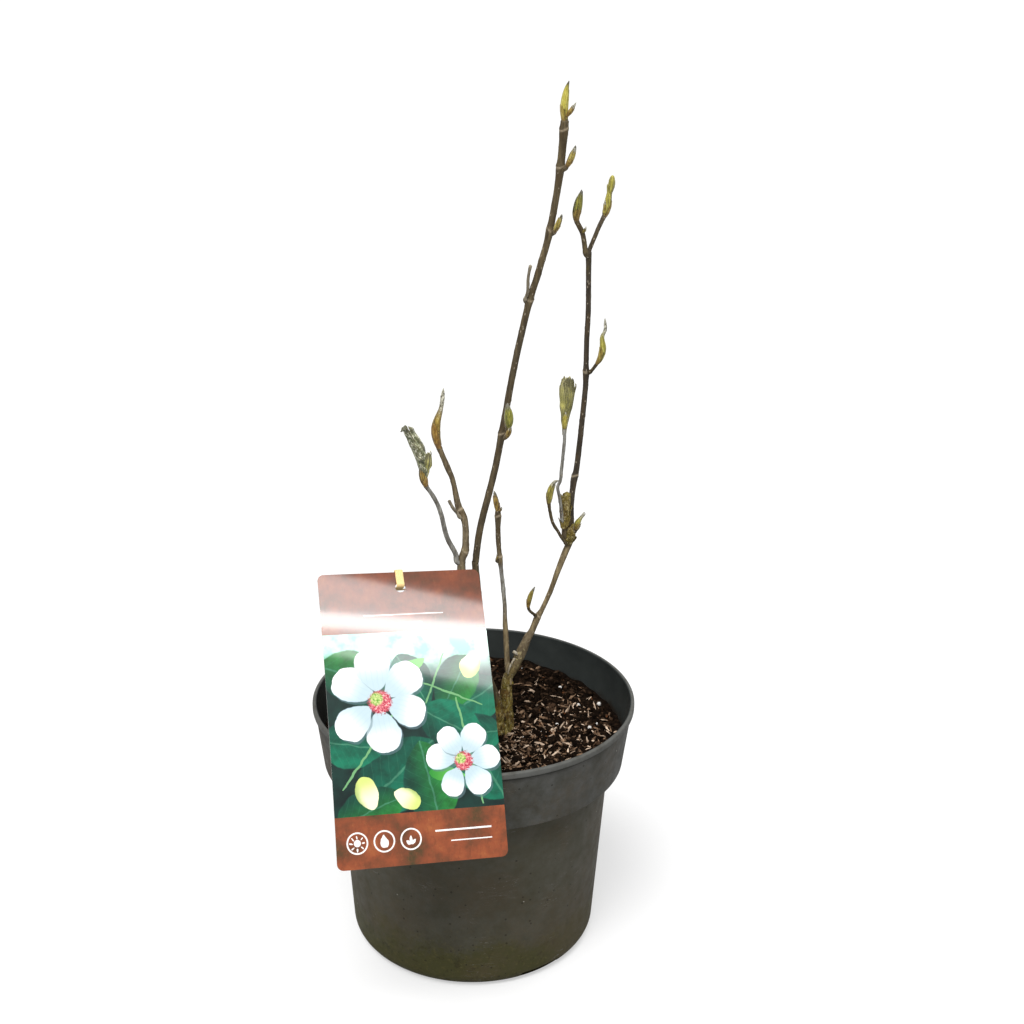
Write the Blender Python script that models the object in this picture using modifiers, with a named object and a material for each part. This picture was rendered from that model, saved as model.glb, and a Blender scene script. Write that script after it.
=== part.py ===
# Young magnolia shrub in a round nursery pot, with a picture label on a loop of elastic.
# Run with: blender --background --python part.py
# Sizes are written in millimetres and become metres where a mesh is made.
# The origin is the centre of the pot's flat underside, +Z is up, and the label faces -Y.

import math

import bmesh
import bpy
import numpy as np
from mathutils import Matrix, Vector

MM = 0.001
GAP = 0.3  # clearance between two pieces that touch
MERGE = 0.000002  # metres, for points that coincide

# Pot, a turned shell with a deep collar
POT_HEIGHT = 153.0
RIM_RADIUS = 95.0
LIP_HEIGHT = 3.6
LIP_DEPTH = 2.4
COLLAR_HEIGHT = 38.3
COLLAR_FOOT_RADIUS = 89.3
BODY_TOP_RADIUS = 81.1
BODY_FOOT_RADIUS = 74.0
CORNER_RADIUS = 9.0
WALL = 1.3
FLOOR = 1.6
TURN_STEPS = 64
SLOT_BEARINGS = (-56.4, 63.6, 183.6)
SLOT_WIDTH = 27.0
SLOT_HEIGHT = 4.2
SLOT_SILL = 1.7
DRAIN_COUNT = 4
DRAIN_RADIUS = 4.0
DRAIN_RING = 42.0

# Potting mix, level round the stems and banked up at the back
SOIL_LEVEL = 129.0
SOIL_BANK = 6.0
SOIL_LUMP = 1.1
SOIL_RINGS = 9
FOOT = (17.0, -1.0)
FOOT_PATCH = 15.0

# Stems, each one tapering limb: a route from its foot to its tip, its girth as pairs of
# height and radius, the heights of its bud nodes, and the height where it leaves the trunk
STEMS = {
    "tall_stem": {
        "route": ((15.5, -0.5, 124), (15.2, -0.7, 131), (14.2, -1.5, 143.7), (13.1, -2, 150),
                  (10.4, -2.9, 159), (8.2, -3.6, 166.5), (5, -6, 191), (0.7, -9, 236.5),
                  (0.8, -9.1, 242), (3.2, -8, 261), (10.2, -5, 290), (13.4, -3.6, 306), (20.8, 0, 349),
                  (25.3, 1.5, 370.8), (29.2, 2.6, 388), (32.8, 3.4, 399.7), (36, 4.1, 411.2),
                  (39, 4.6, 422.7), (43, 5, 446.3), (44.9, 4.6, 464.1), (46, 4, 482)),
        "girth": ((126, 4.6), (131, 3.9), (140, 3.2), (152, 2.7), (240, 1.95), (350, 1.83), (440, 1.85),
                  (458, 2.05), (482, 2.15)),
        "nodes": (314, 388, 425, 458, 477),
        "leaves_trunk": 153,
    },
    "right_stem": {
        "route": ((20.5, 1.2, 123.5), (20.4, 1.5, 129.4), (20, 2, 138), (19.3, 2.8, 148),
                  (19.4, 3.7, 156), (20.3, 4.5, 162), (24.2, 5.6, 168.6), (26.8, 6.8, 174.5),
                  (29.5, 7.9, 180.6), (31.6, 8.7, 185.4), (34.2, 9.4, 189.9), (37.4, 10.7, 198.1),
                  (40.1, 11.3, 203), (44.6, 12.3, 213.7), (48.4, 13, 225.2), (52.4, 13.6, 236.7),
                  (54.9, 14, 243.5), (55, 14.4, 249), (55.4, 15.2, 258), (55.9, 16, 270),
                  (57, 16.6, 281), (58.6, 17.2, 290.3), (61.2, 18.8, 320.4), (62.3, 19.7, 337),
                  (62.3, 20.4, 350), (62.3, 21, 362.6), (62.7, 21.7, 380.8), (62, 23, 411)),
        "girth": ((123, 3.6), (131, 3.35), (138, 3.2), (146, 3.55), (152, 3.5), (157, 3.2), (162, 2.9),
                  (169, 2.85), (175, 3.1), (178, 3), (181, 2.7), (186, 2.4), (190, 1.95), (198, 1.7),
                  (203, 1.45), (219, 1.48), (231, 1.8), (242, 2), (248, 2.7), (255, 2.5), (263, 1.75),
                  (278, 1.75), (290, 1.63), (338, 1.55), (350, 1.5), (404, 1.5), (411, 1.75)),
        "nodes": (197, 283, 344),
        "leaves_trunk": 179,
    },
    "thin_stem": {
        "route": ((20.5, 4, 163.4), (20, 5.2, 167.4), (19.6, 7.2, 171.7), (19.2, 9.4, 178),
                  (18.8, 10.6, 186), (18.2, 11.6, 195), (18, 12.8, 203.7), (16.9, 14, 215.3),
                  (15.6, 15.1, 226.9), (14.9, 15.4, 232.7), (14.2, 15.8, 240), (13.7, 16.2, 248),
                  (13.5, 17, 262)),
        "girth": ((158, 1.9), (176, 1.6), (188, 1.6), (198, 1.3), (203, 1.22), (227, 1.22), (233, 1.4),
                  (239, 1.35), (245, 1.5), (262, 1.6)),
        "nodes": (233, 258),
        "leaves_trunk": 180,
    },
    "left_stem": {
        "route": ((13.5, -3.5, 124), (11.5, -4.8, 138), (8.2, -6.8, 149), (3.5, -9.2, 161),
                  (-1.5, -12, 186), (-5.5, -14, 213), (-7.4, -15, 241), (-5.3, -14, 249.5),
                  (-4.9, -13.2, 257), (-5, -12.5, 262.6), (-5.9, -11.6, 268), (-8.7, -10.5, 273.6),
                  (-10.1, -9.5, 279.2), (-11.2, -8.7, 285), (-12.7, -8, 290.8), (-15, -7.3, 296.2),
                  (-19.5, -6, 307.1)),
        "girth": ((126, 4.4), (131, 3.7), (140, 3.1), (152, 2.7), (238, 2.5), (250, 1.9), (262, 1.85),
                  (274, 1.85), (280, 1.65), (286, 1.4), (291, 1.45), (297, 1.75), (302, 1.5), (307, 1.45)),
        "nodes": (271,),
        "leaves_trunk": 154,
    },
}
ROOT_LOBES = 6
ROOT_REACH = 9.5
ROOT_RISE = 7.0  # a root lobe's start above the mix, its dip on the way out and its whole drop
ROOT_DIP = 5.0
ROOT_DEPTH = 12.0
ROOT_RADII = (3.2, 1.6)

# Boughs: the lower fork's outer limb on the left stem, and an old stub on the right stem's knot
BOUGHS = {
    "left_bough": {
        "on": "left_stem", "height": 243, "bearing": 205,
        "route": ((-10.6, -17, 249), (-15.3, -20, 260), (-18.4, -24, 275), (-21.4, -26.4, 284),
                  (-26.3, -29, 293)),
        "radii": (1.5, 1.15),
    },
    "right_stub": {
        "on": "right_stem", "height": 247, "bearing": 218,
        "route": ((51.8, 11.8, 254), (52.2, 12.2, 262), (53.1, 12.4, 273)),
        "radii": (1.4, 1.6),
    },
}

# Twigs, each with its buds. A twig starts square to its limb at a height and a bearing, or on
# the limb's end where no bearing is given. Its radii are those of the stalk, of the bud at its
# widest and of the tip, and "bud" is the part of its length where the bud begins. "scales" are
# slim points beside the bud, as a route and a radius, and "leaves" are wilted young leaves.
TWIGS = {
    "tall_tip_bud": {
        "on": "tall_stem", "route": ((45.6, 3.8, 489), (46.4, 3.4, 497), (47.7, 3, 502)),
        "radii": (1.6, 1.9, 0.35), "bud": 0.0,
        "scales": ((((46.4, 3.4, 484), (49, 1.8, 487), (51.4, -0.5, 491.6)), 1.15),),
    },
    "tall_upper_bud": {
        "on": "tall_stem", "height": 457, "bearing": -40,
        "route": ((49.6, 0, 463.5), (51.6, -2, 470.2)), "radii": (1.0, 1.5, 0.35), "bud": 0.15,
    },
    "tall_middle_bud": {
        "on": "tall_stem", "height": 424, "bearing": -42,
        "route": ((43.6, 0, 429.5), (45.4, -1, 434.8)), "radii": (1.0, 1.3, 0.35), "bud": 0.15,
    },
    "tall_spent_twig": {
        "on": "tall_stem", "height": 387, "bearing": 205,
        "route": ((28, -0.6, 393.4), (28.1, -1.5, 400), (28.6, -2, 404.4), (29.3, -2, 407.7)),
        "radii": (0.85, 0.9, 0.3), "bud": 0.7,
    },
    "tall_lower_bud": {
        "on": "tall_stem", "height": 313, "bearing": -35,
        "route": ((18.3, -8, 319.5), (18.5, -9, 326), (17.6, -9, 334)),
        "radii": (1.3, 3.0, 0.4), "bud": 0.25,
    },
    "right_side_bud": {
        "on": "right_stem", "height": 343.5, "bearing": -35,
        "route": ((66.4, 16, 347.8), (69.5, 14, 353.6), (70.7, 12.8, 359.4), (70, 12.2, 366),
                  (71.4, 11.5, 370.5), (71.6, 11, 377)),
        "radii": (0.95, 1.7, 0.3), "bud": 0.22,
    },
    "right_fork_twig": {
        "on": "right_stem", "height": 410, "bearing": 230,
        "route": ((58.2, 19.6, 421.5), (54.4, 17.2, 429.5), (54.9, 15, 437), (56.6, 14, 445.8)),
        "radii": (1.4, 2.2, 0.35), "bud": 0.55,
        "scales": ((((57.6, 19.2, 422), (59.2, 17.6, 423.6), (59.8, 16.8, 426)), 0.7),),
    },
    "right_tip_twig": {
        "on": "right_stem",
        "route": ((67.2, 25, 424), (71.1, 27, 432.6), (72.7, 28, 441.5), (74.2, 28, 451.4)),
        "radii": (1.2, 1.95, 1.0), "bud": 0.5,
        "scales": ((((70.8, 26.6, 432), (70.3, 25.4, 436), (70.5, 25, 439.4)), 0.75),),
    },
    "right_leaf_twig": {
        "on": "right_stub", "height": 258, "bearing": 235,
        "route": ((49.4, 8, 268), (48.2, 6.6, 275), (47.1, 5.5, 280.8), (48.5, 4.6, 285.3),
                  (48.9, 4, 292), (50, 2, 309), (49.7, 1.8, 316), (50.4, 1, 328)),
        "radii": (0.95, 1.5, 0.5), "bud": 0.76,
        "leaves": (
            {"route": ((49.7, 1.8, 315), (48.6, -0.2, 331), (48.2, -1.2, 343)),
             "width": 4.4, "bearing": 15},
            {"route": ((49.8, 1.8, 315), (50.7, 0.6, 332), (51.6, 0, 347.8)), "width": 5.0, "bearing": -20},
            {"route": ((49.9, 2.2, 315), (52.4, 1.8, 330), (54.2, 1.6, 342.6)), "width": 4.6, "bearing": 30},
        ),
    },
    "right_curved_twig": {
        "on": "right_stem", "height": 243, "bearing": 232,
        "route": ((50, 8, 249.5), (47.9, 6, 253.8), (44.4, 3, 260.7), (42.4, 1, 269.7),
                  (42.1, 0.5, 274.5), (42.8, 0, 280.8), (44.9, 0, 285.4), (47.3, 0, 286.6)),
        "radii": (0.9, 1.75, 0.5), "bud": 0.66,
    },
    "right_low_twig": {
        "on": "right_stem", "height": 198, "bearing": 222,
        "route": ((32, 3, 206), (31.6, 2, 211), (32.8, 0, 217.4), (35, 0, 222)),
        "radii": (0.85, 1.3, 0.3), "bud": 0.45,
    },
    "right_knot_bud": {
        "on": "right_stem", "height": 250.5, "bearing": -45,
        "route": ((59.4, 9.6, 258), (63.4, 8.6, 264.6)), "radii": (1.2, 1.5, 0.3), "bud": 0.2,
        "scales": ((((57.8, 11.4, 251.6), (59.6, 11.8, 253.4), (61.7, 12.6, 256.4)), 0.75),),
    },
    "thin_tip_bud": {
        "on": "thin_stem", "route": ((12.4, 17, 268), (11.1, 17, 274.6)),
        "radii": (1.2, 1.5, 0.35), "bud": 0.0,
        "scales": ((((13.6, 16.6, 262.8), (14.9, 14.9, 263.4), (15.7, 13.6, 266)), 0.7),),
    },
    "thin_side_bud": {
        "on": "thin_stem", "height": 231.5, "bearing": 215,
        "route": ((13.4, 13.6, 234.4), (13.1, 13.3, 236.6)), "radii": (0.6, 0.75, 0.3), "bud": 0.2,
    },
    "left_spent_twig": {
        "on": "left_stem", "height": 269, "bearing": 235,
        "route": ((-9.9, -15, 272.6), (-11.7, -17, 275.6), (-14.1, -18, 280.6)),
        "radii": (0.85, 0.8, 0.3), "bud": 0.6,
    },
    "left_tip_bud": {
        "on": "left_stem",
        "route": ((-21.3, -5.4, 314), (-21.2, -5, 321), (-19, -4, 328.5), (-17.9, -3.5, 335),
                  (-16.8, -3, 340.4)),
        "radii": (1.4, 2.3, 0.4), "bud": 0.0,
    },
    "left_leaf_twig": {
        "on": "left_bough", "route": ((-27.9, -30.4, 299), (-28.6, -31.4, 306)),
        "radii": (1.1, 1.9, 0.8), "bud": 0.0,
        "leaves": (
            {"route": ((-27.4, -30, 298), (-28.6, -32.4, 309), (-31.6, -34.8, 321), (-37.6, -37, 329)),
             "width": 8.6, "bearing": 12},
            {"route": ((-27, -29.8, 298), (-25.6, -31.6, 306), (-26.2, -33, 315)),
             "width": 6.4, "bearing": 30},
        ),
    },
}
LEAF_THICKNESS = 0.5

# Label, a card that leans back from the rim to the stems and bows a little along its height
LABEL_WIDTH = 90.0
LABEL_HEIGHT = 158.0
LABEL_THICKNESS = 0.5
LABEL_CORNER = 3.5
LABEL_ABOVE_RIM = 117.7  # length of card above the line where it rests
LABEL_LEAN = 34.8  # degrees from upright at that line
LABEL_BOW = 0.098  # more degrees of lean for each millimetre upwards
LABEL_TURN = 15.0
LABEL_ROLL = -3.4
LABEL_SHIFT = -44.0  # the card's middle, along its width, from the point where it rests
LABEL_REST_BEARING = -81.6
LABEL_REST_OUT = 1.0  # the card's middle layer, outside the rim's radius
LABEL_REST_DOWN = 1.5
HOLE_RADIUS = 2.8
HOLE_BELOW_TOP = 9.2

# Elastic loop, a flat band through the hole, over the card's top edge and round the left stem
BAND_WIDTH = 4.4
BAND_THICKNESS = 0.7
BAND_HEIGHT = 231.5  # where it goes round the stem
BAND_LOOP_RADIUS = 3.7
BAND_LOOP_BEARINGS = (115, 75, 35, -5, -45, -85, -120)
BAND_OVER_CARD = ((0.2, 0), (0.3, -1.1), (1.2, -1.9), (2.8, -1.6), (5, -1.2), (7.6, -1.15), (9.3, -1.1),
                  (10.2, -0.5), (10.4, 0.4), (9.8, 1.6))  # up from the hole and behind the card's middle


def smooth_route(points, step):
    """Even steps along a smooth curve through the points."""
    knots = np.array(points, float)
    ends = np.vstack([2 * knots[0] - knots[1], knots, 2 * knots[-1] - knots[-2]])
    dense = []
    for before, a, b, after in zip(ends, ends[1:], ends[2:], ends[3:]):
        for t in np.linspace(0, 1, 16, endpoint=False):
            dense.append(0.5 * (2 * a + (b - before) * t + (2 * before - 5 * a + 4 * b - after) * t ** 2
                                + (3 * a - before - 3 * b + after) * t ** 3))
    dense = np.array(dense + [knots[-1]])
    run = arc_length(dense)
    count = max(3, round(run[-1] / step) + 1)
    even = np.linspace(0, run[-1], count)
    return np.stack([np.interp(even, run, dense[:, axis]) for axis in range(3)], axis=1)


def arc_length(path):
    return np.concatenate([[0], np.cumsum(np.linalg.norm(np.diff(path, axis=0), axis=1))])


def direction(path, index):
    low, high = max(index - 1, 0), min(index + 1, len(path) - 1)
    along = Vector(path[high] - path[low])
    return along.normalized()


def bud_radii(run, stalk, widest, tip, start):
    """Stalk up to the start, then a bud that swells and comes to a point."""
    share = np.clip((run - start) / (1 - start), 0, 1)
    swell = stalk + (widest - stalk) * np.sin(np.clip(share / 0.4, 0, 1) * math.pi / 2)
    narrow = tip + (widest - tip) * np.cos(np.clip((share - 0.4) / 0.6, 0, 1) * math.pi / 2)
    return np.where(share < 0.4, swell, narrow)


def material(name, colour, roughness, metallic=0.0):
    finish = bpy.data.materials.new(name)
    finish.use_nodes = True
    shader = finish.node_tree.nodes["Principled BSDF"]
    shader.inputs["Base Color"].default_value = (*colour, 1)
    shader.inputs["Roughness"].default_value = roughness
    shader.inputs["Metallic"].default_value = metallic
    finish.diffuse_color = (*colour, 1)
    return finish


def add_object(name, mesh, parts, finish):
    new = bpy.data.objects.new(name, mesh)
    parts.objects.link(new)
    mesh.materials.clear()
    mesh.materials.append(finish)
    mesh.shade_smooth()
    mesh.set_sharp_from_angle(angle=math.radians(40))
    return new


def evaluated_mesh(piece):
    """The piece as its modifiers make it, as a mesh with its doubled points merged."""
    graph = bpy.context.evaluated_depsgraph_get()
    mesh = bpy.data.meshes.new_from_object(piece.evaluated_get(graph))
    mesh.transform(piece.matrix_world)
    bm = bmesh.new()
    bm.from_mesh(mesh)
    bmesh.ops.remove_doubles(bm, verts=bm.verts, dist=MERGE)
    bmesh.ops.recalc_face_normals(bm, faces=bm.faces)
    bm.to_mesh(mesh)
    bm.free()
    return mesh


def tube_mesh(path, radii, resolution=2):
    """A round limb with its own radius at each point, from a curve with filled caps."""
    curve = bpy.data.curves.new("limb", "CURVE")
    curve.dimensions = "3D"
    curve.bevel_depth = MM
    curve.bevel_resolution = resolution
    curve.use_fill_caps = True
    spline = curve.splines.new("POLY")
    spline.points.add(len(path) - 1)
    for point, place, radius in zip(spline.points, path, radii):
        point.co = (*(Vector(place) * MM), 1)
        point.radius = radius
    holder = bpy.data.objects.new("limb", curve)
    bpy.context.scene.collection.objects.link(holder)
    bpy.context.view_layer.update()
    mesh = evaluated_mesh(holder)
    bpy.data.objects.remove(holder)
    bpy.data.curves.remove(curve)
    return mesh


def fused_mesh(meshes):
    """One Boolean union of a mass's pieces, applied, with the pieces removed after it."""
    if len(meshes) == 1:
        return meshes[0]
    pieces = bpy.data.collections.new("pieces")
    bpy.context.scene.collection.children.link(pieces)
    host = bpy.data.objects.new("host", meshes[0])
    bpy.context.scene.collection.objects.link(host)
    for mesh in meshes[1:]:
        pieces.objects.link(bpy.data.objects.new("piece", mesh))
    union = host.modifiers.new("union", "BOOLEAN")
    union.operation = "UNION"
    union.operand_type = "COLLECTION"
    union.collection = pieces
    union.solver = "EXACT"
    bpy.context.view_layer.update()
    result = evaluated_mesh(host)
    for piece in list(pieces.objects):
        bpy.data.objects.remove(piece)
    bpy.data.collections.remove(pieces)
    bpy.data.objects.remove(host)
    return result


def add_cutter(name, mesh, cutters):
    cutter = bpy.data.objects.new(name, mesh)
    cutters.objects.link(cutter)
    cutter.hide_render = True
    cutter.display_type = "WIRE"
    return cutter


def cut(piece, cutter):
    modifier = piece.modifiers.new(cutter.name, "BOOLEAN")
    modifier.operation = "DIFFERENCE"
    modifier.object = cutter
    modifier.solver = "EXACT"


def turned_object(name, profile, parts, finish):
    """A profile of radius and height pairs, turned round Z by a Screw modifier."""
    mesh = bpy.data.meshes.new(name)
    mesh.from_pydata([(r * MM, 0, z * MM) for r, z in profile],
                     [(i, i + 1) for i in range(len(profile) - 1)], [])
    turned = bpy.data.objects.new(name, mesh)
    parts.objects.link(turned)
    mesh.materials.append(finish)
    screw = turned.modifiers.new("turn", "SCREW")
    screw.steps = TURN_STEPS
    screw.render_steps = TURN_STEPS
    screw.use_merge_vertices = True
    screw.merge_threshold = MERGE
    screw.use_normal_calculate = False
    screw.use_smooth_shade = True
    return turned


def arc(centre, radius, start, end, steps):
    """Points of a profile's round corner, with the angles in degrees."""
    return [(centre[0] + radius * math.cos(math.radians(a)), centre[1] + radius * math.sin(math.radians(a)))
            for a in np.linspace(start, end, steps)]


def corner(foot_radius, floor, radius):
    return arc((foot_radius - radius, floor + radius), radius, 0, -90, 5)


def inner_wall(inset):
    """The hollow's profile from the collar down to the floor's edge, inset from the outside."""
    ledge = POT_HEIGHT - COLLAR_HEIGHT
    inner_corner = CORNER_RADIUS - inset
    floor = FLOOR + inset - WALL
    return ([(RIM_RADIUS - LIP_DEPTH, POT_HEIGHT - 0.6),
             (RIM_RADIUS - 1.4 - inset, POT_HEIGHT - LIP_HEIGHT),
             (COLLAR_FOOT_RADIUS - inset, ledge + inset + 0.6),
             (COLLAR_FOOT_RADIUS - 1.2 - inset, ledge + inset),
             (BODY_TOP_RADIUS - inset, ledge + inset)]
            + corner(BODY_FOOT_RADIUS - inset, floor, inner_corner))


def collar_inside(height, inset):
    """Radius of the collar's inside at a height."""
    ledge = POT_HEIGHT - COLLAR_HEIGHT
    share = (height - ledge - inset - 0.6) / (COLLAR_HEIGHT - LIP_HEIGHT - inset - 0.6)
    return COLLAR_FOOT_RADIUS - inset + share * (RIM_RADIUS - 1.4 - COLLAR_FOOT_RADIUS)


def pot(parts, cutters):
    ledge = POT_HEIGHT - COLLAR_HEIGHT
    inside = [(0, FLOOR)] + inner_wall(WALL)[::-1]
    outside = ([(RIM_RADIUS - LIP_DEPTH + 0.4, POT_HEIGHT), (RIM_RADIUS - 0.8, POT_HEIGHT),
                (RIM_RADIUS, POT_HEIGHT - 0.8), (RIM_RADIUS, POT_HEIGHT - LIP_HEIGHT + 0.8),
                (RIM_RADIUS - 0.6, POT_HEIGHT - LIP_HEIGHT), (RIM_RADIUS - 1.4, POT_HEIGHT - LIP_HEIGHT),
                (COLLAR_FOOT_RADIUS, ledge + 0.8), (COLLAR_FOOT_RADIUS - 0.6, ledge),
                (BODY_TOP_RADIUS, ledge)]
               + corner(BODY_FOOT_RADIUS, 0, CORNER_RADIUS) + [(0, 0)])
    shell = turned_object("pot", inside + outside, parts, material("pot", (0.062, 0.065, 0.062), 0.5))
    for number, bearing in enumerate(SLOT_BEARINGS):
        bm = bmesh.new()
        bmesh.ops.create_cube(bm, size=1)
        bmesh.ops.scale(bm, vec=(24 * MM, SLOT_WIDTH * MM, SLOT_HEIGHT * MM), verts=bm.verts)
        mesh = bpy.data.meshes.new("slot_cutter")
        bm.to_mesh(mesh)
        bm.free()
        turn = math.radians(bearing)
        middle = Vector((math.cos(turn), math.sin(turn), 0)) * (BODY_FOOT_RADIUS + 2)
        mesh.transform(Matrix.Translation((middle + Vector((0, 0, SLOT_SILL + SLOT_HEIGHT / 2))) * MM)
                       @ Matrix.Rotation(turn, 4, "Z"))
        cut(shell, add_cutter(f"slot_cutter_{number + 1}", mesh, cutters))
    for number in range(DRAIN_COUNT):
        turn = math.tau * (number + 0.5) / DRAIN_COUNT
        bm = bmesh.new()
        bmesh.ops.create_cone(bm, cap_ends=True, segments=16, radius1=DRAIN_RADIUS * MM,
                              radius2=DRAIN_RADIUS * MM, depth=4 * FLOOR * MM)
        mesh = bpy.data.meshes.new("drain_cutter")
        bm.to_mesh(mesh)
        bm.free()
        mesh.transform(Matrix.Translation(Vector((math.cos(turn), math.sin(turn), 0)) * DRAIN_RING * MM))
        cut(shell, add_cutter(f"drain_cutter_{number + 1}", mesh, cutters))


def soil_height(x, y):
    """Level round the stems, banked towards the back and gently lumpy elsewhere."""
    lumps = (np.sin(x * 0.21 + 1.3) * np.sin(y * 0.17 + 0.4) + 0.6 * np.sin(x * 0.37 - y * 0.29)
             + 0.4 * np.sin(x * 0.08 - y * 0.43 + 2.0))
    away = np.clip((np.hypot(x - FOOT[0], y - FOOT[1]) - FOOT_PATCH) / FOOT_PATCH, 0, 1)
    bank = SOIL_BANK * np.clip((y - 8) / 78, 0, 1) ** 1.4
    return SOIL_LEVEL + away * SOIL_LUMP * lumps * 0.6 + bank


def potting_mix(parts):
    inset = WALL + GAP
    rim = collar_inside(SOIL_LEVEL, inset)
    top = [(rim * ring / SOIL_RINGS, SOIL_LEVEL) for ring in range(SOIL_RINGS + 1)]
    side = [point for point in inner_wall(inset) if point[1] < SOIL_LEVEL]
    filling = turned_object("mix_blank", top + side + [(0, FLOOR + GAP)], parts,
                            material("potting_mix", (0.022, 0.013, 0.008), 0.95))
    bpy.context.view_layer.update()
    mesh = evaluated_mesh(filling)
    bpy.data.objects.remove(filling)
    places = np.empty(len(mesh.vertices) * 3)
    mesh.vertices.foreach_get("co", places)
    places = places.reshape(-1, 3) / MM
    upper = places[:, 2] > SOIL_LEVEL - 0.5
    places[upper, 2] = soil_height(places[upper, 0], places[upper, 1])
    edge = upper & (np.hypot(places[:, 0], places[:, 1]) > rim - 0.5)
    reach = collar_inside(places[edge, 2], inset) / rim
    places[edge, :2] *= reach[:, None]
    mesh.vertices.foreach_set("co", (places * MM).ravel())
    mesh.update()
    add_object("potting_mix", mesh, parts, bpy.data.materials["potting_mix"])


def stem_path(stem):
    """A stem's points and radii from foot to tip, with a swelling at each bud node."""
    path = smooth_route(stem["route"], 5.5)
    heights, radii = zip(*stem["girth"])
    girth = np.interp(path[:, 2], heights, radii)
    for node in stem["nodes"]:
        girth = girth + 0.3 * np.exp(-((path[:, 2] - node) / 3.5) ** 2)
    return path, girth


def split_path(path, radii, height):
    """The arm that belongs to the trunk, and the limb that goes on from it past a gap."""
    index = int(np.argmax(path[:, 2] > height))
    along = np.array(direction(path, index))
    arm = path[:index + 1].copy(), radii[:index + 1]
    limb = path[index:].copy()
    limb[0] += along * GAP
    return arm, (limb, radii[index:])


def skin_distance(place, limb):
    """Distance from a point to a limb's skin."""
    path, radii = limb
    fine = np.linspace(0, len(path) - 1, 8 * len(path))
    centres = np.stack([np.interp(fine, range(len(path)), path[:, axis]) for axis in range(3)], axis=1)
    skin = np.interp(fine, range(len(path)), radii)
    return float((np.linalg.norm(centres - np.array(place), axis=1) - skin).min())


def seat(limb, height, bearing, stalk):
    """Start of a twig: clear of its limb's skin by the gap, and leaving it square."""
    path, radii = limb
    index = int(np.argmax(path[:, 2] > height))
    share = (height - path[index - 1, 2]) / (path[index, 2] - path[index - 1, 2])
    centre = Vector(path[index - 1]).lerp(Vector(path[index]), share)
    along = Vector(path[index] - path[index - 1]).normalized()
    turn = math.radians(bearing)
    out = Vector((math.cos(turn), math.sin(turn), 0))
    out = (out - along * out.dot(along)).normalized()
    aside = along.cross(out)
    edges = (along, -along, aside, -aside, Vector((0, 0, 0)))
    reach = radii[index]
    while min(skin_distance(centre + out * reach + edge * stalk, limb) for edge in edges) < GAP:
        reach += 0.05
    start = centre + out * reach
    return [tuple(start), tuple(start + out * 1.2 + along * 0.4)]


def limb_end(limb):
    """Start of a twig that carries on from its limb's end."""
    path = limb[0]
    along = direction(path, len(path) - 1)
    start = Vector(path[-1]) + along * GAP
    return [tuple(start), tuple(start + along * 1.5)]


def twig_start(twig, limbs):
    limb = limbs[twig["on"]]
    if "bearing" in twig:
        return seat(limb, twig["height"], twig["bearing"], twig["radii"][0])
    return limb_end(limb)


def twig_path(twig, limbs, step):
    """A twig's points: its short square start, then even steps along its route."""
    start, lead = twig_start(twig, limbs)
    return np.vstack([start, smooth_route([lead, *twig["route"]], step)])


def leaf_mesh(leaf):
    """A young leaf, folded along its rib and curled at its edges, as a thin closed blade."""
    path = smooth_route(leaf["route"], 3.5)
    run = arc_length(path) / arc_length(path)[-1]
    half = leaf["width"] / 2 * (0.16 + 0.84 * np.sin(math.pi * np.clip(run * 0.9 + 0.04, 0, 1)) ** 0.8)
    turn = math.radians(leaf["bearing"])
    across = Vector((math.cos(turn), math.sin(turn), 0))
    places = []
    for index, (place, width) in enumerate(zip(path, half)):
        along = direction(path, index)
        side = (across - along * across.dot(along)).normalized()
        up = along.cross(side)
        for share in (-1, -0.5, 0, 0.5, 1):
            curl = 0.55 * abs(share) - 0.25 * share ** 2 + 0.12 * math.sin(index * 1.9 + share * 2)
            places.append((Vector(place) + side * width * share + up * width * curl) * MM)
    faces = [(row * 5 + i, row * 5 + i + 1, row * 5 + i + 6, row * 5 + i + 5)
             for row in range(len(path) - 1) for i in range(4)]
    mesh = bpy.data.meshes.new("leaf")
    mesh.from_pydata(places, [], faces)
    blade = bpy.data.objects.new("leaf", mesh)
    bpy.context.scene.collection.objects.link(blade)
    shell = blade.modifiers.new("thickness", "SOLIDIFY")
    shell.thickness = LEAF_THICKNESS * MM
    shell.offset = 0
    bpy.context.view_layer.update()
    result = evaluated_mesh(blade)
    bpy.data.objects.remove(blade)
    return result


def trunk(arms, parts, cutters, finish):
    """The short foot: the stems' lower arms and the root flare, cut flat where the mix begins."""
    meshes = [tube_mesh(path, radii, 3) for path, radii in arms]
    for lobe in range(ROOT_LOBES):
        turn = math.tau * (lobe + 0.35) / ROOT_LOBES
        out = np.array([math.cos(turn), math.sin(turn), 0])
        start = np.array([*FOOT, SOIL_LEVEL + ROOT_RISE])
        reach = ROOT_REACH * (1 + 0.16 * math.sin(lobe * 2.3))
        lobe_path = smooth_route((start, start + out * reach * 0.6 - (0, 0, ROOT_DIP),
                                  start + out * reach - (0, 0, ROOT_DEPTH)), 3)
        meshes.append(tube_mesh(lobe_path, np.linspace(*ROOT_RADII, len(lobe_path))))
    foot = add_object("trunk", fused_mesh(meshes), parts, finish)
    bm = bmesh.new()
    bmesh.ops.create_cube(bm, size=60 * MM)
    mesh = bpy.data.meshes.new("soil_level_cutter")
    bm.to_mesh(mesh)
    bm.free()
    mesh.transform(Matrix.Translation(Vector((*FOOT, SOIL_LEVEL + GAP - 30)) * MM))
    cut(foot, add_cutter("soil_level_cutter", mesh, cutters))


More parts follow.
